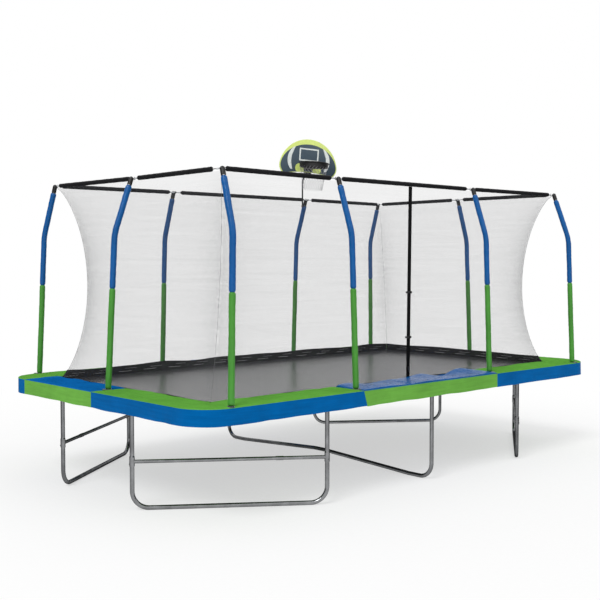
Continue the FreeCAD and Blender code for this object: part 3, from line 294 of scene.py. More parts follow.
class Nodes:
    """The node tree of a material or a world, with short calls to add and link."""

    def __init__(self, owner):
        self.owner = owner
        owner.use_nodes = True
        self.tree = owner.node_tree
        self.shader = self.tree.nodes.get("Principled BSDF")
        self.coords = self.add("ShaderNodeTexCoord")

    def feed(self, socket, value):
        """Links a socket to an input, or sets the input's value."""
        if isinstance(value, bpy.types.NodeSocket):
            self.tree.links.new(value, socket)
        else:
            socket.default_value = value

    def add(self, kind, inputs=None, **settings):
        """A node with its settings, and inputs given as values or as sockets to link."""
        node = self.tree.nodes.new(kind)
        for key, value in settings.items():
            setattr(node, key, value)
        for key, value in (inputs or {}).items():
            self.feed(node.inputs[key], value)
        return node

    def set(self, **values):
        """Values or sockets for the Principled shader, with _ for a space in their names."""
        for key, value in values.items():
            self.feed(self.shader.inputs[key.replace("_", " ")], value)

    def math(self, operation, a, b=0.0):
        """One Math node."""
        return self.add("ShaderNodeMath", {0: a, 1: b}, operation=operation).outputs[0]

    def noise(self, scale, detail, rough=0.5, where="Object", stretch=None):
        """A noise texture's value, on coordinates stretched by three factors where given."""
        source = self.coords.outputs[where]
        if stretch:
            source = self.add("ShaderNodeMapping", {"Vector": source, "Scale": stretch}).outputs[0]
        return self.add("ShaderNodeTexNoise", {"Vector": source, "Scale": scale, "Detail": detail,
                                               "Roughness": rough}).outputs[0]

    def weave(self, where, scale, distortion):
        """Crossed bands: the product of a wave along X and one along Y."""
        inputs = {"Vector": self.coords.outputs[where], "Scale": scale, "Distortion": distortion}
        bands = [self.add("ShaderNodeTexWave", inputs, bands_direction=axis) for axis in "XY"]
        return self.math("MULTIPLY", *(band.outputs["Fac"] for band in bands))

    def ramp(self, value, low, high, to_low=0.0, to_high=1.0):
        """A value mapped from low..high to to_low..to_high and held there."""
        return self.add("ShaderNodeMapRange", {"Value": value, "From Min": low, "From Max": high,
                                               "To Min": to_low, "To Max": to_high}).outputs[0]

    def mix(self, factor, a, b):
        """A colour between a and b."""
        return self.add("ShaderNodeMix", {0: factor, 6: a, 7: b}, data_type="RGBA").outputs[2]

    def bump(self, height, strength, distance, below=None):
        """A bump normal from a height, on top of another normal where given."""
        inputs = {"Height": height, "Strength": strength, "Distance": distance}
        if below is not None:
            inputs["Normal"] = below
        return self.add("ShaderNodeBump", inputs).outputs[0]


def rgb(r, g, b):
    """A colour given in 0..255 as it shows on screen, made linear."""
    c = np.array([r, g, b]) / 255
    c = np.where(c <= 0.04045, c / 12.92, ((c + 0.055) / 1.055) ** 2.4)
    return (*c.tolist(), 1.0)


def shade(colour, factor):
    """A colour made darker or lighter."""
    return (*[min(c * factor, 1.0) for c in colour[:3]], 1.0)


def galvanised(name, colour, rough):
    """Zinc: a flecked bright skin with dull patches."""
    n = Nodes(bpy.data.materials.new(name))
    cells = n.add("ShaderNodeTexVoronoi", {"Vector": n.coords.outputs["Object"], "Scale": 160.0})
    fleck = n.ramp(cells.outputs["Distance"], 0.0, 0.9)
    cloud = n.noise(9.0, 4.0, 0.6)
    n.set(Metallic=1.0, Base_Color=n.mix(n.ramp(cloud, 0.35, 0.7), shade(colour, 0.72), shade(colour, 1.12)))
    n.set(Roughness=n.math("ADD", n.ramp(fleck, 0, 1, rough - 0.05, rough + 0.08),
                           n.ramp(cloud, 0.3, 0.7, -0.04, 0.06)))
    n.set(Normal=n.bump(fleck, 0.12, 0.0003), Specular_Tint=(0.1, 0.1, 0.1, 1.0))
    return n.owner


def coated_cloth(name, colour, gloss, crease, shine):
    """PVC coated cloth: fine weave showing through, soft crumples, and patches and streaks of lighter and
    darker tone.
    """
    n = Nodes(bpy.data.materials.new(name))
    cloud = n.noise(3.0, 5.0, 0.6)
    crumple = n.noise(14.0, 6.0, 0.62)
    fine = n.noise(60.0, 3.0, 0.5)
    weave = n.weave("UV", 160.0, 0.6)
    streak = n.noise(9.0, 4.0, 0.6, "UV", (0.35, 6.0, 1.0))
    tone = n.math("ADD", n.math("MULTIPLY", cloud, 0.5), n.math("MULTIPLY", streak, 0.5))
    n.set(Base_Color=n.mix(n.ramp(tone, 0.36, 0.64), shade(colour, 0.84), shade(colour, 1.14)))
    n.set(Roughness=n.math("ADD", n.ramp(crumple, 0.3, 0.7, gloss - 0.05, gloss + 0.10),
                           n.ramp(weave, 0, 1, -0.02, 0.03)))
    first = n.bump(crumple, 0.35 * crease, 0.012)
    second = n.bump(fine, 0.25, 0.002, first)
    n.set(Normal=n.bump(weave, 0.2, 0.0004, second), Specular_IOR_Level=shine)
    return n.owner


WAVE_SCALE = 0.3142  # scale of a Wave texture with one band in each metre


def woven(name, colour, pitch, rough, deep=0.0006, where="Object", fade=0.25, shine=0.25):
    """A plain weave of flat yarns, one pitch each way, with faint streaks along the yarns."""
    n = Nodes(bpy.data.materials.new(name))
    weave = n.weave(where, WAVE_SCALE / pitch, 0.4)
    streak = n.noise(24.0, 3.0, 0.6, where, (1.0, 0.05, 1.0))
    cloud = n.noise(2.2, 4.0, 0.6, where)
    tone = n.math("ADD", n.math("MULTIPLY", streak, 0.5), n.math("MULTIPLY", cloud, 0.5))
    n.set(Base_Color=n.mix(n.ramp(tone, 0.35, 0.65), shade(colour, 1 - fade), shade(colour, 1 + fade)))
    n.set(Roughness=n.ramp(weave, 0, 1, rough + 0.08, rough - 0.05), Normal=n.bump(weave, 0.5, deep))
    n.set(Specular_IOR_Level=shine)
    return n.owner


def moulded(name, colour, rough=0.42):
    """Moulded plastic with a fine spark-eroded grain and slight wear."""
    n = Nodes(bpy.data.materials.new(name))
    grain = n.noise(900.0, 2.0, 0.5)
    wear = n.noise(35.0, 4.0, 0.6)
    n.set(Base_Color=n.mix(n.ramp(wear, 0.4, 0.75), colour, shade(colour, 1.6)))
    n.set(Roughness=n.ramp(wear, 0.3, 0.7, rough - 0.06, rough + 0.1), Normal=n.bump(grain, 0.25, 0.0003))
    return n.owner


def printed(name, colour):
    """A glossy printed sheet with faint ink mottling."""
    n = Nodes(bpy.data.materials.new(name))
    ink = n.noise(45.0, 4.0, 0.6)
    orange_peel = n.noise(220.0, 2.0, 0.5)
    n.set(Base_Color=n.mix(n.ramp(ink, 0.35, 0.65), shade(colour, 0.93), shade(colour, 1.05)))
    n.set(Roughness=n.ramp(ink, 0.3, 0.7, 0.28, 0.38), Normal=n.bump(orange_peel, 0.12, 0.0004))
    return n.owner


def net_cloth(name, colour):
    """Fine knitted mesh: thin yarns on a square lattice, denser in some courses and where drawn says so."""
    pitch, yarn = 0.0045, 0.14  # the lattice in metres, and each yarn's share of it
    n = Nodes(bpy.data.materials.new(name))
    parts = n.add("ShaderNodeSeparateXYZ", {"Vector": n.coords.outputs["UV"]})
    cover = None
    for axis in (0, 1):
        cell = n.math("FRACT", n.math("DIVIDE", parts.outputs[axis], pitch))
        near = n.math("ABSOLUTE", n.math("SUBTRACT", cell, 0.5))
        line = n.ramp(near, 0.5 - yarn, 0.5 - yarn * 0.5, 0.0, 1.0)
        cover = line if cover is None else n.math("MAXIMUM", cover, line)
    course = n.noise(30.0, 3.0, 0.6, "UV", (1.0, 0.03, 1.0))
    tone = n.noise(18.0, 3.0, 0.6)
    drawn = n.add("ShaderNodeAttribute", attribute_name="drawn").outputs["Fac"]
    shown = n.math("ADD", n.math("MULTIPLY", cover, 0.09), 0.042)
    gathered = n.math("ADD", n.math("MULTIPLY", drawn, 3.3), 1.0)
    dense = n.math("MULTIPLY", n.ramp(course, 0.35, 0.65, 0.92, 1.09), gathered)
    n.set(Base_Color=n.mix(n.ramp(tone, 0.3, 0.7), shade(colour, 0.9), shade(colour, 1.1)))
    n.set(Alpha=n.math("MULTIPLY", shown, dense), Roughness=0.8, Specular_IOR_Level=0.1)
    return n.owner


STEEL = galvanised("galvanised_tube", rgb(148, 149, 151), 0.15)
WIRE = galvanised("zinc_wire", rgb(190, 190, 188), 0.28)
SCREW = galvanised("zinc_screw", rgb(140, 142, 145), 0.3)
GREEN_TOP = coated_cloth("green_vinyl", rgb(96, 162, 64), 0.6, 1.0, 0.0)
BLUE_TOP = coated_cloth("blue_vinyl", rgb(14, 98, 168), 0.6, 1.0, 0.0)
GLOSSY_BLUE = coated_cloth("glossy_blue_vinyl", rgb(0, 84, 150), 0.28, 0.1, 0.15)
GREEN_SKIRT = coated_cloth("green_skirt_cloth", rgb(104, 166, 68), 0.48, 0.6, 0.03)
BLUE_SKIRT = coated_cloth("blue_skirt_cloth", rgb(0, 92, 158), 0.44, 0.6, 0.02)
GREEN_SLEEVE = coated_cloth("green_sleeve_cloth", rgb(70, 142, 52), 0.30, 0.7, 0.3)
BLUE_SLEEVE = coated_cloth("blue_sleeve_cloth", rgb(0, 84, 150), 0.28, 0.7, 0.3)
BLACK_SLEEVE = coated_cloth("black_sleeve_cloth", rgb(28, 28, 30), 0.55, 0.8, 0.08)
MAT_CLOTH = woven("woven_mat", rgb(54, 54, 56), 0.0035, 0.2, 0.0002, fade=0.08, shine=0.27)
BORDER = woven("mat_border_webbing", rgb(34, 34, 36), 0.002, 0.6, shine=0.1)
BAND = woven("foot_band_cloth", rgb(17, 17, 18), 0.002, 0.7, where="UV", shine=0.1)
TAPE = woven("zip_tape_cloth", rgb(12, 12, 13), 0.0015, 0.7, where="UV", shine=0.1)
LACE = woven("lacing_cord", rgb(165, 165, 167), 0.002, 0.7, where="UV")
LINE = woven("ring_cord", rgb(120, 120, 118), 0.002, 0.7, where="UV")
SEAM = woven("net_seam_tape", rgb(112, 112, 114), 0.002, 0.7, where="UV", shine=0.1)
HEM = woven("net_hem_tape", rgb(205, 207, 210), 0.002, 0.8, where="UV", fade=0.06)
HOOP_CORD = woven("hoop_cord", rgb(165, 165, 168), 0.003, 0.8, where="UV", fade=0.08)
NET = net_cloth("enclosure_mesh", rgb(96, 97, 100))
BLACK = moulded("black_plastic", rgb(16, 16, 17))
BLACK_METAL = moulded("black_powder_coat", rgb(20, 20, 21), 0.38)
GROMMET = moulded("pale_grommet", rgb(120, 128, 130), 0.4)
ZIP_METAL = galvanised("zip_metal", rgb(120, 120, 122), 0.3)
LIME = printed("lime_print", rgb(216, 232, 128))
SLATE = printed("slate_print", rgb(56, 74, 88))
WHITE = printed("white_print", rgb(232, 238, 236))


# Poles and rounded paths


class Pole:
    """Centreline of a pole: straight to the bend, an arc, and straight to the tip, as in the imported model."""

    def __init__(self, kind, x, y):
        self.kind, self.x, self.y = kind, x, y
        self.sx, self.sy = float(np.sign(x)), float(np.sign(y))
        self.lean, tip = KINDS[kind]["lean"], KINDS[kind]["tip"]
        self.bend = self.at(BEND_Z)
        step = np.array([-self.sx * tip[0], -self.sy * tip[1], TIP_Z - BEND_Z])
        self.tip = self.bend + step
        self.inward = unit(np.array([step[0], step[1], 0.0]))
        self.ring = self.tip + self.inward * RING_IN

    def at(self, z):
        """The lower run's centre at a height."""
        rise = z - PAD_TOP
        return np.array([self.x - self.sx * self.lean[0] * rise, self.y - self.sy * self.lean[1] * rise, z])

    def path(self, low, short, count):
        """Points from a height to a distance short of the tip, by length along line, arc and line."""
        start, end = self.at(low), self.tip + unit(self.bend - self.tip) * short
        u, w = unit(start - self.bend), unit(end - self.bend)
        half = math.acos(float(u @ w)) / 2
        reach = POLE_BEND_R / math.tan(half)
        first, last = self.bend + u * reach, self.bend + w * reach
        centre = self.bend + unit(u + w) * POLE_BEND_R / math.sin(half)
        sweep = math.pi - 2 * half
        lengths = [np.linalg.norm(first - start), sweep * POLE_BEND_R, np.linalg.norm(end - last)]
        s = np.linspace(0, sum(lengths), count)[:, None]
        angle = np.clip((s - lengths[0]) / POLE_BEND_R, 0, sweep)
        a, b = unit(first - centre), -u
        arc = centre + POLE_BEND_R * (a * np.cos(angle) + b * np.sin(angle))
        before = np.minimum(s - lengths[0], 0) * -u
        after = np.maximum(s - lengths[0] - lengths[1], 0) * w
        return arc + before + after


POLES = [Pole(*place) for place in POLE_PLACES]
SPANS = list(zip(POLES, POLES[1:] + POLES[:1]))


def foam(path, radius, bore, turn, full, ref=UP):
    """A sleeve with a radius for each point of its surface, turned in to the bore at both ends."""
    s = run_length(path)[:, None]
    edge = np.minimum(s, s[-1] - s)
    radius = bore + (radius - bore) * np.sqrt(np.clip(edge / turn, 0, 1))
    sides = radius.shape[1]
    return patch(tube(path, radius, sides, ref), wrap_cols=True, ends=True, uv=tube_uv(path, full, sides))


def sleeve(path, seed):
    """A foam sleeve in coated cloth, with soft dents, creases and a seam."""
    s, a = run_length(path)[:, None], around(24)[None]
    ring = ripples(s, a * 0.03, seed, 7, (0.03, 0.12), 0.35)
    dent = ripples(s, a * 0.08, seed + 1, 5, (0.16, 0.5), 0.8)
    radius = SLEEVE_R - 0.0008 + 0.00055 * ring + 0.0007 * dent
    radius = radius + 0.0007 * np.exp(-(((a - 2.2) / 0.13) ** 2))
    return foam(path, radius, POLE_R + 0.0004, 0.006, SLEEVE_R, ref=np.array([1.0, 0.3, 0.0]))


def sleeves():
    """Ten green lower sleeves and ten blue upper ones."""
    count = 72
    green = [sleeve(np.linspace(pole.at(SLEEVE_LOW), pole.at(COLOUR_CHANGE), count), 10 * i + 1)
             for i, pole in enumerate(POLES)]
    blue = [sleeve(pole.path(COLOUR_CHANGE - 0.001, SLEEVE_SHORT, count), 10 * i + 2)
            for i, pole in enumerate(POLES)]
    for colour, patches, material in (("green", green, GREEN_SLEEVE), ("blue", blue, BLUE_SLEEVE)):
        out = piece(f"sleeves_{colour}", patches, material)
        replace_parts(out, f"pole_sleeves_{colour}")


def top_ring():
    """Padded sleeves along the ring, and the cord through them."""
    patches, line = [], []
    a = around(18)[None]
    for i, (p, q) in enumerate(SPANS):
        along = unit(q.ring - p.ring)
        start = p.ring + along * RING_GAPS[p.kind]
        end = q.ring - along * (RING_GAPS[q.kind] + RING_SLIPPED.get(i, 0.0))
        path = start + (end - start) * np.linspace(0, 1, 60)[:, None]
        s = run_length(path)[:, None]
        radius = RING_SLEEVE_R - 0.0006 + 0.0006 * ripples(s, a * 0.03, 200 + i, 7, (0.04, 0.16), 0.4)
        patches.append(foam(path, radius, RING_BORE_R, 0.005, RING_SLEEVE_R))
        line.append(np.linspace(p.ring, q.ring, 12)[:-1])
    out = piece("ring_sleeves", patches, BLACK_SLEEVE)
    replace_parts(out, "top_ring_sleeves")
    grid = tube(np.concatenate(line), RING_LINE_R, 8, closed=True)
    cord = piece("ring_cord", [patch(grid, wrap_rows=True, wrap_cols=True)], LINE)
    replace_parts(cord, "top_ring_line")


# Net


def net_column(pole, z):
    """The net's line at a pole for heights z: straight from foot to ring, drawn in by the waist's curve."""
    inset = NET_CORNER_INSET if pole.kind == "corner" else NET_INSET
    if pole.kind == "corner":
        foot = np.array([pole.sx * (MAT_X - inset), pole.sy * (MAT_Y - inset)])
        inward = unit(np.array([-pole.sx, -pole.sy]))
    elif pole.kind == "end":
        foot, inward = np.array([pole.sx * (MAT_X - inset), 0.0]), np.array([-pole.sx, 0.0])
    else:
        foot, inward = np.array([pole.ring[0], pole.sy * (MAT_Y - inset)]), np.array([0.0, -pole.sy])
    u = ((z - NET_FOOT) / (NET_TOP - NET_FOOT))[..., None]
    waist = np.clip(4 * u * (1 - u), 0, 1) ** 0.75 * NET_WAIST[pole.kind]
    plan = foot + (pole.ring[:2] - foot) * u + inward * waist
    return np.concatenate([plan, z[..., None]], -1)


NET_SIDES = {"front": (0, 1, 2, 3), "right": (3, 4, 5), "back": (5, 6, 7, 8), "left": (8, 9, 0)}


def wall(side, z, per_span, out=0.0):
    """Points of a net wall at heights z, straight between the poles' lines, moved outward by out."""
    poles = [POLES[i] for i in NET_SIDES[side]]
    lines = np.stack([net_column(p, z) for p in poles], 1)
    t = np.linspace(0, len(poles) - 1, (len(poles) - 1) * per_span + 1)
    k = np.minimum(t.astype(int), len(poles) - 2)
    f = (t - k)[None, :, None]
    points = lines[:, k] * (1 - f) + lines[:, k + 1] * f
    along = unit(np.gradient(points, axis=1))
    outward = unit(np.cross(along, UP))
    outward = outward * np.sign(np.sum(outward * points * [1, 1, 0], -1, keepdims=True))
    return points + outward * out, outward


def sheet_uv(points):
    """Metres across and up a sheet, from its own lengths."""
    across = np.linalg.norm(np.diff(points, axis=1), axis=-1).mean(0)
    up = np.linalg.norm(np.diff(points, axis=0), axis=-1).mean(1)
    return metres(*(np.concatenate([[0], np.cumsum(steps)]) for steps in (up, across)))


def with_net(obj):
    """Bakes the piece's place into its mesh."""
    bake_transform(obj)


def net_wall(k, side, z):
    """A wall of mesh with soft folds that die out at foot and top, denser near the corners."""
    points, outward = wall(side, z, 44)
    uv = sheet_uv(points)
    u, v = uv[..., 1], uv[..., 0]
    free = smooth(np.minimum(v, v[-1:] - v) / 0.5)
    folds = 0.0025 * free * ripples(u, v, 300 + k, 9, (0.3, 1.2), 0.25)
    points = points + outward * folds[..., None]
    from_corner = np.minimum(u, u[:, -1:] - u)
    drawn = 0.45 * np.exp(-from_corner / 0.16) * np.sin(np.pi * v / v[-1:]) ** 0.6
    out = piece(f"net_{side}_wall", thin(points, outward, NET_THICKNESS, uv), NET, body=None)
    mark = out.data.attributes.new("drawn", "FLOAT", "POINT")
    values = np.zeros(len(out.data.vertices), np.float32)
    values[:2 * drawn.size] = np.tile(drawn.ravel(), 2)
    mark.data.foreach_set("value", values)
    weld(out)
    with_net(out)
    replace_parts(out, f"net_{side}")


def foot_band(k, side):
    """The band at a wall's foot with a wavy top edge, and the two rows of lacing that weave through it."""
    height = BAND_HEIGHTS[side]
    points, outward = wall(side, np.linspace(NET_FOOT, NET_FOOT + height, 9), 90, BAND_OUT)
    s = sheet_uv(points)[..., 1]
    rise = smooth((points[..., 2] - NET_FOOT) / height)
    points[..., 2] += rise * 0.07 * height * ripples(s, s * 0, 340 + k, 6, (0.5, 1.6), 0.1)
    points += outward * (0.002 * ripples(s, points[..., 2], 350 + k, 6, (0.08, 0.3), 0.3))[..., None]
    steps = max(int(s[0, -1] / 0.01 / (len(NET_SIDES[side]) - 1)), 2)
    laces = []
    for up, shift, r in ((0.30, 0.0, 0.0020), (0.62, 1.7, 0.0013)):
        line, away = wall(side, np.array([NET_FOOT + up * height]), steps, BAND_OUT)
        line, away = line[0], away[0]
        phase = 2 * math.pi * run_length(line) / (2 * SPRING_PITCH) + shift
        lace = line + away * (0.0046 * np.sign(np.sin(phase)) * np.abs(np.sin(phase)) ** 0.3)[:, None]
        lace[:, 2] += 0.03 * height * np.sin(phase / 2.7 + shift)
        laces.append(strand(lace, r))
    return thin(points, outward, BAND_THICKNESS, sheet_uv(points)), laces


def net():
    """Four walls of mesh, the black band at their foot and its lacing, corner seams and the hem's ends."""
    z = np.linspace(NET_FOOT, NET_TOP, 70)
    bands, laces = [], []
    for k, side in enumerate(NET_SIDES):
        net_wall(k, side, z)
        band, lacing = foot_band(k, side)
        bands += band
        laces += lacing
    band = piece("net_band", bands, BAND, body=None)
    weld(band)
    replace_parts(band, "net_foot_band")
    with_net(band)
    lacing = piece("net_lacing", laces, LACE, body=None)
    weld(lacing)
    with_net(lacing)

    seams = [strand(net_column(pole, z), NET_SEAM_R, ref=np.array([1.0, 0.4, 0.0]))
             for pole in POLES if pole.kind == "corner"]
    with_net(piece("net_seams", seams, SEAM, body=None))
    ends = []
    for i, (p, q) in enumerate(SPANS):
        along = unit(q.ring - p.ring)
        for near, gap, way in ((p.ring, RING_GAPS[p.kind], along), (q.ring, RING_GAPS[q.kind], -along)):
            path = near + way * np.linspace(0.014, gap + 0.006, 8)[:, None]
            radius = HEM_R + 0.0012 * ripples(np.arange(8.0), np.arange(6.0)[:, None], 380 + i, 5, (2, 5)).T
            ends.append(patch(tube(path, radius, 6), wrap_cols=True, ends=True, uv=tube_uv(path, HEM_R, 6)))
    piece("net_hem_ends", ends, HEM)


# Mat, V-rings and springs

# Outward direction of each side
SECTORS = {"front": (0, -1), "back": (0, 1), "left": (-1, 0), "right": (1, 0)}


def bounce(obj):
    """Bakes the piece's place into its mesh."""
    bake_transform(obj)


def mat_sector(side):
    """Grid of one hip of the mat: rows from its edge to the middle, columns along the edge."""
    dx, dy = SECTORS[side]
    rows = np.concatenate([[0, 0.004, 0.02, 0.038, 0.042], np.linspace(0.07, MAT_Y, 30)])[:, None]
    half = MAT_X if dy else MAT_Y
    run = np.linspace(-1, 1, 121 if dy else 61) * (half - rows)
    depth = (MAT_Y if dy else MAT_X) - rows
    if dy:
        return xyz(run, dy * depth), rows + 0 * run
    return xyz(dx * depth, run), rows + 0 * run


def mat():
    """The bed in four hips with one surface, and the sewn border of doubled webbing."""
    for side, (dx, dy) in SECTORS.items():
        points, inside = mat_sector(side)
        corner = np.abs(points[..., 0]) - (MAT_X - MAT_CUT) + np.abs(points[..., 1]) - MAT_Y
        points[..., :2] -= np.sign(points[..., :2]) * np.maximum(corner, 0)[..., None] / 2
        sag = -0.006 * smooth(inside / 0.9)
        rise = 0.0015 * (1 - smooth((inside - 0.038) / 0.004))
        top, low = points.copy(), points.copy()
        waves = ripples(points[..., 0], points[..., 1], 400, 8, (0.1, 0.5))
        top[..., 2] = MAT_TOP + rise + sag + 0.0004 * waves
        low[..., 2] = MAT_UNDER + sag
        parts = shell(top, low, points[..., :2], flip=dy > 0 if dy else dx < 0)
        out = piece(f"mat_{side}", parts, MAT_CLOTH, body=None)
        weld(out)
        out.data.materials.append(BORDER)
        centres = np.zeros(len(out.data.polygons) * 3)
        out.data.polygons.foreach_get("center", centres)
        centres = np.abs(centres.reshape(-1, 3))
        edge = np.minimum(MAT_X - centres[:, 0], MAT_Y - centres[:, 1])
        out.data.polygons.foreach_set("material_index", (edge < MAT_BORDER).astype(np.int32))
        bounce(out)
        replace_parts(out, "jumping_mat")


def steps_along(half_edge):
    """Distances of the springs from the middle of an edge."""
    count = int((half_edge - MAT_CUT - 0.031) / SPRING_PITCH + 0.5)
    return [(i + 0.5) * SPRING_PITCH for i in range(count)]


def spring_places(side):
    """(point on the mat's edge, outward direction, distance to the rail) for one side."""
    dx, dy = SECTORS[side]
    half = MAT_X if dy else MAT_Y
    out = []
    for step in steps_along(half):
        for s in (-1, 1):
            point = (s * step, dy * MAT_Y) if dy else (dx * MAT_X, s * step)
            out.append((*point, dx, dy, SPRING_SPAN))
    if dy:
        r = math.sqrt(0.5)
        edge = np.array([MAT_X - MAT_CUT / 2, MAT_Y - MAT_CUT / 2])
        rail = np.array([FRAME_X - FRAME_R, FRAME_Y - FRAME_R]) + FRAME_R * r
        reach = float((rail - edge) @ np.array([r, r]))
        out += [(s * edge[0], dy * edge[1], s * r, dy * r, reach) for s in (-1, 1)]
    return np.array(out)


def placed(local, places):
    """Local points (n, m, 3), x outward from the mat's edge and z up, put at each spring's place."""
    out, side = xyz(places[:, 2], places[:, 3]), xyz(-places[:, 3], places[:, 2])
    base = xyz(places[:, 0], places[:, 1], (MAT_TOP + MAT_UNDER) / 2)
    along, across, up = local[..., :1], local[..., 1:2], local[..., 2:]
    return base[:, None] + along * out[:, None] + across * side[:, None] + up * UP


COIL_TURNS, COIL_STEPS = 38, 9
COIL_R, NECK_R = 0.0105, 0.0105 * 0.35  # the coil's radius in its middle and at its ends
WIRE_R = 0.0018
SPRING_START, SPRING_END, HOOK = 0.042, 0.021, 0.034  # from the mat's edge, from the rail, a hook's length
V_RING = np.array([[0.004, -0.029, 0], [0.004, 0.029, 0], [0.044, 0.0, 0]])
V_RING_WIRE_R = 0.0019


def coil_path(reach):
    """Lines of springs from the mat outward: a hook, close turns that swell from both ends, and a hook."""
    end = reach - SPRING_END
    turns = np.linspace(0, 1, COIL_TURNS * COIL_STEPS + 1)
    angle = turns * COIL_TURNS * 2 * math.pi
    swell = COIL_R * (0.35 + 0.65 * np.sqrt(np.clip(np.minimum(turns, 1 - turns) * 14, 0, 1)))
    x0, x1 = SPRING_START + HOOK, (end - HOOK)[:, None]
    x = x0 + (x1 - x0) * turns[None]
    coil = xyz(x, swell * np.cos(angle), swell * np.sin(angle))
    t = np.linspace(0, 1, 9)[:, None]
    near = np.array([[SPRING_START - 0.003, 0, -0.004], [SPRING_START + 0.004, 0, 0.004], [x0, NECK_R, 0]])
    first = np.broadcast_to(bow(*near, t), (len(reach), 9, 3))[:, :-1]
    far = xyz(x1[:, 0], NECK_R), xyz(end - 0.004, 0.0, 0.004), xyz(end + 0.004, 0.0, -0.008)
    last = bow(*(p[:, None] for p in far), t[None])[:, 1:]
    return np.concatenate([first, coil, last], 1)


def v_ring_path():
    """The triangle of wire round its three corners: straight edges joined by short curves."""
    t = np.linspace(0, 1, 8, endpoint=False)[::2, None]
    edges = []
    for k in range(3):
        a, b, c = np.roll(V_RING, -k, 0)
        start, end = a + (b - a) * 0.12, b + (a - b) * 0.12
        edges += [start + (end - start) * t, bow(end, b, b + (c - b) * 0.12, t)]
    return np.concatenate(edges)


def springs():
    """Close wound springs with hooks at both ends, and the triangular rings that hold the mat."""
    for side in SECTORS:
        places = spring_places(side)
        axis = xyz(places[:, 2], places[:, 3])[:, None]
        grid = tube(placed(coil_path(places[:, 4]), places), WIRE_R, 4, ref=axis + 1e-4)
        coils = piece(f"springs_{side}", [patch(grid, wrap_cols=True, ends=True)], WIRE, body=None)
        bounce(coils)
        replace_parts(coils, "mat_springs")

        ring = v_ring_path()
        ring = placed(np.broadcast_to(ring, (len(places), *ring.shape)), places)
        grid = tube(ring, V_RING_WIRE_R, 5, closed=True)
        rings = piece(f"v_rings_{side}", [patch(grid, wrap_rows=True, wrap_cols=True)], WIRE, body=None)
        bounce(rings)
        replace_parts(rings, "mat_v_rings")


# Pads and skirts

STRAIGHT_X, STRAIGHT_Y = PAD_X - PAD_R, PAD_Y - PAD_R
ARC = PAD_R * math.pi / 2


def pad_edge(s):
    """Outer edge of the pads in one quarter at length s from the middle of the long side, and its normal."""
    a = np.clip((s - STRAIGHT_X) / PAD_R, 0, math.pi / 2)
    normal = xyz(np.sin(a), np.cos(a))
    x = np.minimum(s, STRAIGHT_X) + PAD_R * np.sin(a)
    y = STRAIGHT_Y + PAD_R * np.cos(a) - np.maximum(s - STRAIGHT_X - ARC, 0)
    return xyz(x, y), normal


def pad_inner(s):
    """Inner edge point that faces the outer one: straight across, held at the inner corner round the bend."""
    edge, _ = pad_edge(s)
    return xyz(np.minimum(edge[..., 0], PAD_IN_X), np.minimum(edge[..., 1], PAD_IN_Y))


TOTAL = STRAIGHT_X + ARC + STRAIGHT_Y
END_SEAM = TOTAL - MAT_Y
GAP = 0.0008
# Each pad's quarter as the signs of x and y, its two seams along the edge, and the colour of its top
PADS = {
    "front_left_corner": (-1, -1, SEAM_X, TOTAL, "green"),
    "front_right_corner": (1, -1, SEAM_X, TOTAL, "green"),
    "back_left": (-1, 1, SEAM_X, END_SEAM, "green"),
    "back_right": (1, 1, SEAM_X, END_SEAM, "green"),
    "left_end": (-1, 1, END_SEAM, TOTAL, "blue"),
    "right_end": (1, 1, END_SEAM, TOTAL, "blue"),
    "front_middle": (1, -1, -SEAM_X, SEAM_X, "blue"),
    "back_middle": (1, 1, -SEAM_X, SEAM_X, "blue"),
}
OTHER = {"green": "blue", "blue": "green"}
LOOSE_PAD = "front_middle"  # glossy and slack at the entrance
# Heights of broad and fine crumples and of the swell, and how far the inner edge wanders
SLACK, TIGHT = (0.0007, 0.0001, 0.013, 0.012), (0.0016, 0.0007, 0.0022, 0.003)
PAD_RUN = 0.33  # width of a pad in its patterns
PANEL = 0.65  # length of foam between two folds
PIPING_R = 0.0032
# Skirts whose end is pulled along towards its foot: the seam's place and the pull
SLANTED = {"front_left_corner": (SEAM_X, -0.045), "front_middle": (-SEAM_X, 0.045)}


def pad_profile():
    """Cross-section of a pad: share of the way from inner to outer edge, and height from bottom to top."""
    top = np.linspace(0, 1, 30)
    t = np.concatenate([[0.03, 0.0, -0.004, 0.004], 0.02 + 0.95 * top, [0.99, 1.0, 1.0, 0.985],
                        np.linspace(0.95, 0.06, 10)])
    h = np.concatenate([[0.0, 0.12, 0.5, 0.82], 0.93 + 0.07 * np.sin(np.pi * top) ** 0.5,
                        [0.9, 0.66, 0.3, 0.0], np.zeros(10)])
    return t, h


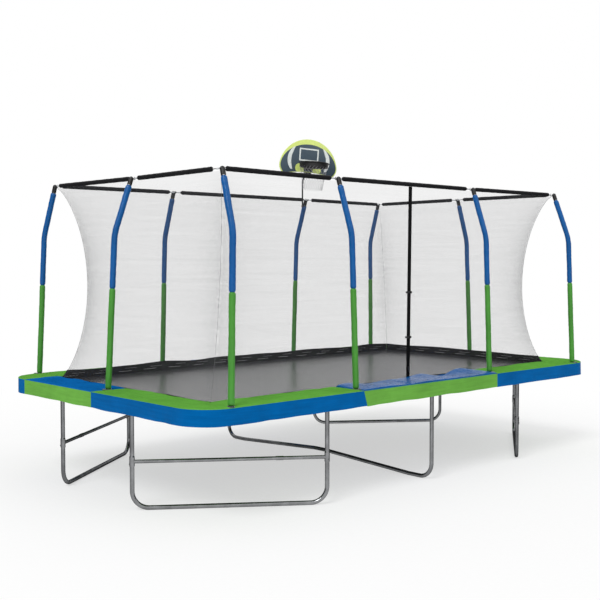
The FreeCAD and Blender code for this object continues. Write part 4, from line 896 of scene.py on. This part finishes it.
def pad_cover(k, name, s, flips):
    """A foam pad in coated cloth: the profile between both edges, with crumples, cross folds and piping."""
    sx, sy, s0, s1, colour = PADS[name]
    loose = name == LOOSE_PAD
    broad, fine, puff, wander = SLACK if loose else TIGHT
    t, h = pad_profile()
    outer, normal = pad_edge(s)
    inner = pad_inner(s)
    share = t[None, :, None]
    points = inner[:, None] * (1 - share) + outer[:, None] * share
    a, b = s[:, None] + 0 * t[None], t[None] * PAD_RUN + 0 * s[:, None]
    lift = broad * ripples(a, b, 500 + k, 12, (0.14, 0.5), 0.9)
    lift += fine * ripples(a, b, 520 + k, 12, (0.05, 0.12), 1.0)
    panels = max(round((s1 - s0) / PANEL), 1)
    for j in range(1, panels):
        at = s0 + (s1 - s0) * j / panels
        fold = (a - at - 0.05 * (b - 0.16)) / 0.014
        lift -= 0.006 * np.exp(-(fold**2)) * np.sin(np.pi * np.clip(t, 0, 1))[None] ** 0.5
    swell = ripples(a, b, 540 + k, 8, (0.45, 0.9) if loose else (0.28, 0.8), 0.35)
    lift += puff * (0.4 + swell * (1.2 - b / PAD_RUN))
    lift -= 0.009 * np.exp(-np.minimum(a - s0, s1 - a) / 0.02)
    is_top = np.clip(h * 3 - 1.6, 0, 1)[None]
    points[..., 2] = PAD_LOW + 0.0005 + (PAD_TOP - PAD_LOW - 0.001) * h[None] + lift * is_top
    inward = unit(inner - outer + 1e-9)[:, None] * (1 - share).clip(0, 1) ** 2
    points += inward * wander * ripples(s, 0 * s, 545 + k, 6, (0.25, 0.9), 0.1)[:, None, None]
    uv = np.stack([a, b], -1)
    uv = np.concatenate([uv, uv[:, :1]], 1)
    piping = (outer + normal * 0.001 + [0, 0, PAD_TOP - 0.0085]) * flips
    parts = [patch(points * flips, wrap_cols=True, ends=True, uv=uv, flip=sx * sy > 0),
             strand(piping, PIPING_R, 8)]
    material = GREEN_TOP if colour == "green" else GLOSSY_BLUE if loose else BLUE_TOP
    out = piece(f"pad_{name}_cover", parts, material)
    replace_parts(out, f"pad_{name}")
    return out


def pad_skirt(k, name, s, flips):
    """The skirt below a pad's outer edge, in the other colour: slightly flared, waved along its foot."""
    sx, sy, s0, s1, colour = PADS[name]
    colour = OTHER[colour]
    rows = np.linspace(0, 1, 9)
    z = SKIRT_TOP - (SKIRT_TOP - SKIRT_LOW) * rows
    seam, slant = SLANTED.get(name, (0.0, 0.0))
    base, normal = pad_edge(s[:, None] + slant * rows[None] * np.exp(-np.abs(s[:, None] - seam) / 0.25))
    flare = 0.0025 + 0.001 * rows[None]
    wave = 0.0022 * rows[None] * ripples(s[:, None], z[None], 560 + k, 8, (0.12, 0.6), 0.15)
    dip = 0.002 * rows[None] * ripples(s[:, None], 0 * z[None], 580 + k, 5, (0.3, 1.0), 0.1)
    points = base + normal * (flare + wave)[..., None]
    points[..., 2] = z[None] + dip
    points, normal = points * flips, normal * flips
    parts = thin(points, normal, 0.0022, sheet_uv(points), flip=sx * sy < 0)
    material = BLUE_SKIRT if colour == "blue" else GREEN_SKIRT
    out = piece(f"pad_{name}_skirt", parts, material)
    weld(out)


def pads():
    """Eight foam pads round the frame, each with its skirt."""
    for k, (name, (sx, sy, s0, s1, _)) in enumerate(PADS.items()):
        s = np.linspace(s0 + GAP, s1 - GAP, int((s1 - s0) / 0.022))
        cover = pad_cover(k, name, s, [sx, sy, 1])
        pad_skirt(k, name, s, [sx, sy, 1])


def grommets():
    """Oval eyelets where the poles pass the pads: a pale raised rim round a black plug that paints the shade
    inside the slot.
    """
    rims, painted_shade_plugs = [], []
    a = around(32)
    for pole in POLES:
        out = unit(np.array([pole.sx * (pole.kind != "side"), pole.sy * (pole.kind != "end"), 0.0]))
        side = np.cross(out, UP)
        middle = pole.at(PAD_TOP) + out * 0.014
        oval = middle + out * (0.043 * np.cos(a))[:, None] + side * (0.030 * np.sin(a))[:, None]
        oval[:, 2] = PAD_TOP + 0.0012
        rims.append(patch(tube(oval, 0.0014, 6, closed=True), wrap_rows=True, wrap_cols=True))
        # Painted shade: a black solid fills the slot and rises just above the pad, in place of the shade inside
        # the hole.
        low, high = oval.copy(), oval.copy()
        low[:, 2], high[:, 2] = PAD_TOP - 0.004, PAD_TOP + 0.0016
        painted_shade_plugs.append(patch(np.stack([low, high]), wrap_cols=True, ends=True, flip=True))
    piece("pad_eyelet_rims", rims, GROMMET)
    outwards(piece("pad_eyelet_painted_shade_plugs", painted_shade_plugs, BLACK, shade_flat=True))


# Zip entrance


def entrance():
    """The zip's tape along the front net: one profile with sewn edges and a raised coil carried up a line."""
    z = np.linspace(NET_FOOT + BAND_HEIGHTS["front"] + 0.002, NET_TOP - 0.002, 120)
    left, right = net_column(POLES[1], z), net_column(POLES[2], z)
    share = (ZIP_X - left[:, 0]) / (right[:, 0] - left[:, 0])
    line = left + (right - left) * share[:, None]
    line[:, 0] = ZIP_X
    half_x = np.array([0.0012, 0.003, 0.0035, 0.012, 0.013, 0.0245, 0.025])
    half_h = np.array([0.0023, 0.0019, 0.0009, 0.0009, 0.0016, 0.0012, 0.0])
    x, h = np.concatenate([-half_x[::-1], half_x]), np.concatenate([half_h[::-1], half_h])
    face = line[:, None] + x[None, :, None] * [1, 0, 0]
    face[..., 1] -= 0.0024 + h[None]
    back = line[:, None] + x[None, ::-1, None] * [1, 0, 0]
    back[..., 1] -= 0.0022
    grid = np.concatenate([face, back], 1)
    uv = metres(z, np.arange(grid.shape[1] + 1) * 0.0025)
    strip = patch(grid, wrap_cols=True, ends=True, uv=uv, flip=True)
    tape = piece("zip_tape_strip", [strip], TAPE, body=None)
    with_net(tape)
    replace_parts(tape, "zip_tape")


# Hoop

HOOP_TURN, HOOP_ROLL = math.radians(-25), math.radians(4)
BOARD_FOOT = POLES[6].tip + np.array([-0.003, -0.055, 0.292])
BOARD_W, BOARD_H, BOARD_T = 0.715, 0.425, 0.012
BOARD_SHOULDER, BOARD_CORNER, BOARD_BULGE, BOARD_NOTCH = 0.125, 0.048, 0.010, 0.034
RIM_R, RIM_UP, RIM_CLEAR = 0.17, 0.12, 0.042


def on_board(points):
    """Points of the hoop's own frame put in place: rolled about the board's middle, turned and moved."""
    p = np.asarray(points, float) - [0, 0, BOARD_H / 2]
    c, s = math.cos(HOOP_ROLL), math.sin(HOOP_ROLL)
    p = p @ np.array([[c, 0, s], [0, 1, 0], [-s, 0, c]]).T + [0, 0, BOARD_H / 2]
    c, s = math.cos(HOOP_TURN), math.sin(HOOP_TURN)
    return p @ np.array([[c, -s, 0], [s, c, 0], [0, 0, 1]]).T + BOARD_FOOT


def arc_through(a, b, c, count):
    """Points of the circle's arc from a through b to c, in a plane."""
    a, b, c = (complex(*p) for p in (a, b, c))
    w = (c - a) / (b - a)
    centre = (b - a) * (w - abs(w) ** 2) / (2j * w.imag) + a
    first = np.angle(a - centre)
    turn = np.angle((c - centre) / (a - centre)) % (2 * math.pi)
    middle = np.angle((b - centre) / (a - centre)) % (2 * math.pi)
    if middle > turn:
        turn -= 2 * math.pi
    z = centre + abs(a - centre) * np.exp(1j * (first + turn * np.linspace(0, 1, count)))
    return np.stack([z.real, z.imag], -1)


def board_outline():
    """The backboard's outline from four arcs: the arch, two rounded lower corners and the low notch."""
    w, h, s, c, b = BOARD_W / 2, BOARD_H, BOARD_SHOULDER, BOARD_CORNER, BOARD_BULGE
    arcs = [((-w, s), (0, h), (w, s)), ((w, s), (w - b, c), (w - c, 0)),
            ((w - c, 0), (0, BOARD_NOTCH), (-w + c, 0)), ((-w + c, 0), (-w + b, c), (-w, s))]
    return np.concatenate([arc_through(*arc, 40)[:-1] for arc in arcs])


def plate(outline, depth_front, depth_back, bevel):
    """A flat plate in the board's plane: its outline's walls, eased edges, faces fanned from the middle."""
    middle = outline.mean(0)
    inset = middle + (outline - middle) * (1 - bevel / 0.2)
    loops = [(inset * 0 + middle, depth_front), (inset, depth_front), (outline, depth_front + bevel),
             (outline, depth_back - bevel), (inset, depth_back), (inset * 0 + middle, depth_back)]
    return on_board(np.stack([xyz(p[:, 0], d, p[:, 1]) for p, d in loops]))


def board():
    """The arched board: a lime face, a slate field, and pale and lime shapes of a plain generic design."""
    outline = board_outline()
    middle = np.array([0.0, 0.2])
    field = middle + (outline - middle) * 0.965
    above = field[:, 1] > BOARD_SHOULDER
    field[above, 1] = BOARD_SHOULDER + (field[above, 1] - BOARD_SHOULDER) * 0.82
    marks, panels = [], []
    for x0, x1, z0, z1 in ((-0.12, 0.12, 0.30, 0.316), (-0.12, 0.12, 0.165, 0.181),
                           (-0.12, -0.104, 0.181, 0.30), (0.104, 0.12, 0.181, 0.30)):
        marks.append(np.array([[x0, z1], [x1, z1], [x1, z0], [x0, z0]]))
    for s in (-1, 1):
        crescent = np.concatenate([arc_through((0.17, 0.33), (0.215, 0.20), (0.20, 0.055), 14),
                                   arc_through((0.225, 0.06), (0.262, 0.20), (0.205, 0.31), 14)]) * [s, 1]
        marks.append(crescent if s > 0 else crescent[::-1])
        ends = (s * 0.055, 0.045), (s * 0.15, 0.04)
        panels.append(np.concatenate([arc_through(ends[0], (s * 0.10, 0.135), ends[1], 16),
                                      arc_through(ends[1], (s * 0.10, 0.030), ends[0], 8)[1:-1]]))
    for name, outlines, depths, material, slot in (
        ("backboard", [outline], (0.0, BOARD_T, 0.003), LIME, "board_face"),
        ("backboard_field", [field], (-0.0012, 0.0004, 0.0006), SLATE, None),
        ("backboard_marks", marks, (-0.002, -0.001, 0.0004), WHITE, None),
        ("backboard_panels", panels, (-0.002, -0.001, 0.0004), LIME, None),
    ):
        out = piece(name, [patch(plate(o, *depths), wrap_cols=True) for o in outlines], material)
        if name == "backboard":
            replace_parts(out, "hoop_backboard")
        weld(out)
        outwards(out)


def hoop_net():
    """Twelve cords leaning each way, zigzag from knot to knot, on a cone that narrows downward."""
    turns, rows, cord_r = 12, 6, 0.0017
    top_r, low_r, drop = 0.160, 0.112, 0.27
    centre = np.array([0, -RIM_CLEAR - RIM_R, RIM_UP - 0.040])
    v = np.linspace(0, 1, rows * 8 + 1)
    cords = []
    for lean in (-1, 1):
        zig = np.abs((v * rows + (0 if lean > 0 else 1)) % 2 - 1)
        r = low_r + (top_r - low_r) * (1 - v) ** 1.15 + 0.0015 * lean * np.cos(v * rows * math.pi)
        z = -drop * v - 0.004 * np.sin(v * rows * math.pi) ** 2
        for i in range(turns):
            angle = 2 * math.pi * (i + 0.5 + zig * lean * 0.5) / turns
            path = on_board(xyz(r * np.cos(angle), r * np.sin(angle), z) + centre)
            cords.append(strand(path, cord_r, 5, ref=np.array([0.3, 0.2, 1.0])))
    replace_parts(piece("hoop_net_cords", cords, HOOP_CORD), "hoop_net")


# Screws


def screws():
    """Hex screws with washers at the sockets and joints: a six-sided head turned out of the tube."""
    places = []
    for pole in POLES:
        outward = unit(np.array([pole.sx * (pole.kind != "side"), pole.sy + 1e-9, 0]))
        places.append((pole.at(0.835), -outward, 0.0228))
    spots = [(x, s * FRAME_Y, np.array([0, s, 0])) for x in (-1.368, 0.0, 1.368) for s in (-1, 1)]
    spots += [(s * FRAME_X, y, np.array([s, 0, 0])) for s in (-1, 1) for y in (-0.562, 0.562)]
    for x, y, outward in spots:
        places.append((np.array([x, y, 0.822]), outward, 0.019))
        if x:
            places.append((np.array([x, y, 0.385]), outward, 0.0226))
    a = around(12)
    hexagon = 1 / np.cos((a + math.pi / 6) % (math.pi / 3) - math.pi / 6)
    patches = []
    for at, outward, radius in places:
        side = unit(np.cross(outward, UP))
        over = np.cross(side, outward)
        rings = [at + outward * (radius + d) + (r * shape * np.cos(a))[:, None] * side
                 + (r * shape * np.sin(a))[:, None] * over
                 for r, d, shape in ((0.0065, -0.001, 1), (0.0065, 0.0014, 1), (0.0046, 0.0015, hexagon),
                                     (0.0046, 0.0055, hexagon), (0.0036, 0.0062, hexagon))]
        patches.append(patch(np.stack(rings), wrap_cols=True, ends=True, flip=True))
    outwards(piece("socket_screws", patches, SCREW, shade_flat=True))


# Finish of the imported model's nodes that show, by the start of their names; a later match counts
FINISHES = {"frame_": STEEL, "leg_": STEEL, "middle_": STEEL, "pole_": STEEL, "pole_caps": BLACK,
            "zip_slider": ZIP_METAL, "zip_pull": ZIP_METAL, "buckle": BLACK, "hoop_rim": BLACK,
            "hoop_bracket": BLACK_METAL}


def finishes():
    """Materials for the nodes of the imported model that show."""
    for name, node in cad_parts.items():
        for start, material in FINISHES.items():
            if name.startswith(start):
                node.data.materials.clear()
                node.data.materials.append(material)


# Stage

ROOM_AXIS = math.radians(46)  # the room is white at both ends of this line and dimmer at its sides
ROOM_DIM = 0.95
WHITE_LIGHT = (1, 1, 1, 1)


def side_dim(n, way, gloss_ray):
    """What glossy rays lose towards the room's sides: minus the dimming by the square of the way across."""
    across = n.add("ShaderNodeVectorMath", {0: way, 1: (-math.sin(ROOM_AXIS), math.cos(ROOM_AXIS), 0)},
                   operation="DOT_PRODUCT").outputs["Value"]
    return n.math("MULTIPLY", n.math("MULTIPLY", across, across), n.math("MULTIPLY", gloss_ray, -ROOM_DIM))


def floor():
    """A pale floor that glows: near the object it is part glow, which lightens the object's shadow there, and
    further out it is all white glow.
    """
    n = Nodes(bpy.data.materials.new("studio_floor"))
    place = n.coords.outputs["Object"]
    grain = n.noise(30.0, 3.0)
    n.set(Base_Color=n.mix(n.ramp(grain, 0.3, 0.7), rgb(250, 250, 250), rgb(253, 253, 253)), Roughness=0.9,
          Specular_IOR_Level=0.0)
    way = n.add("ShaderNodeVectorMath", {0: place}, operation="NORMALIZE").outputs[0]
    dim = side_dim(n, way, n.add("ShaderNodeLightPath").outputs["Is Glossy Ray"])
    glow = n.add("ShaderNodeEmission", {"Color": WHITE_LIGHT, "Strength": n.math("ADD", dim, 1.0)}).outputs[0]
    reach = n.add("ShaderNodeVectorMath", {0: place}, operation="LENGTH").outputs["Value"]
    # Glow share: 0.55 within 2.6 m of the middle, which paints light into the object's shadow, rising to full
    # glow at 7 m.
    far = n.add("ShaderNodeMapRange", {"Value": reach, "From Min": 2.6, "From Max": 7.0, "To Min": 0.55},
                interpolation_type="SMOOTHSTEP").outputs[0]
    blend = n.add("ShaderNodeMixShader", {0: far, 1: n.shader.outputs[0], 2: glow}).outputs[0]
    n.tree.links.new(blend, n.tree.nodes["Material Output"].inputs["Surface"])
    mesh = bpy.data.meshes.new("floor")
    mesh.from_pydata([(-60, -60, 0), (60, -60, 0), (60, 60, 0), (-60, 60, 0)], [], [(0, 1, 2, 3)])
    mesh.materials.append(n.owner)
    plane = in_scene("floor", mesh)
    plane.location.z = -0.0005


def room():
    """A white world: full strength where the camera, gloss or glass sees it, less as light."""
    n = Nodes(bpy.data.worlds.new("studio"))
    rays = n.add("ShaderNodeLightPath").outputs
    seen = n.math("MAXIMUM", n.math("MAXIMUM", rays["Is Camera Ray"], rays["Is Glossy Ray"]),
                  rays["Is Transmission Ray"])
    dim = side_dim(n, n.coords.outputs["Object"], rays["Is Glossy Ray"])
    sky = n.tree.nodes["Background"]
    sky.inputs["Color"].default_value = WHITE_LIGHT
    n.tree.links.new(n.math("ADD", n.ramp(seen, 0.0, 1.0, 0.62, 1.0), dim), sky.inputs["Strength"])
    bpy.context.scene.world = n.owner


def stage():
    """The floor, the room, one broad lamp and a soft fill, and the camera."""
    floor()
    room()
    for name, strength, angle, tilt, turn in (("key", 1.35, 24, 42, -70), ("fill", 0.35, 40, 55, 25)):
        lamp = bpy.data.lights.new(name, "SUN")
        lamp.energy, lamp.angle = strength, math.radians(angle)
        in_scene(name, lamp).rotation_euler = (math.radians(tilt), 0, math.radians(turn))

    camera = bpy.data.cameras.new("camera")
    camera.sensor_width, camera.lens = 36.0, 58.91
    camera.clip_end = 200
    obj = in_scene("camera", camera)
    obj.location = (-7.109, -7.358, 2.0506)
    obj.rotation_euler = (math.radians(87.703), 0, math.radians(-42.873))
    scene = bpy.context.scene
    scene.camera = obj
    scene.view_settings.view_transform = "Standard"
    scene.cycles.transparent_max_bounces = 32  # a ray may cross both sides of several net walls


sleeves()
top_ring()
net()
mat()
springs()
pads()
grommets()
entrance()
board()
hoop_net()
screws()
finishes()
stage()
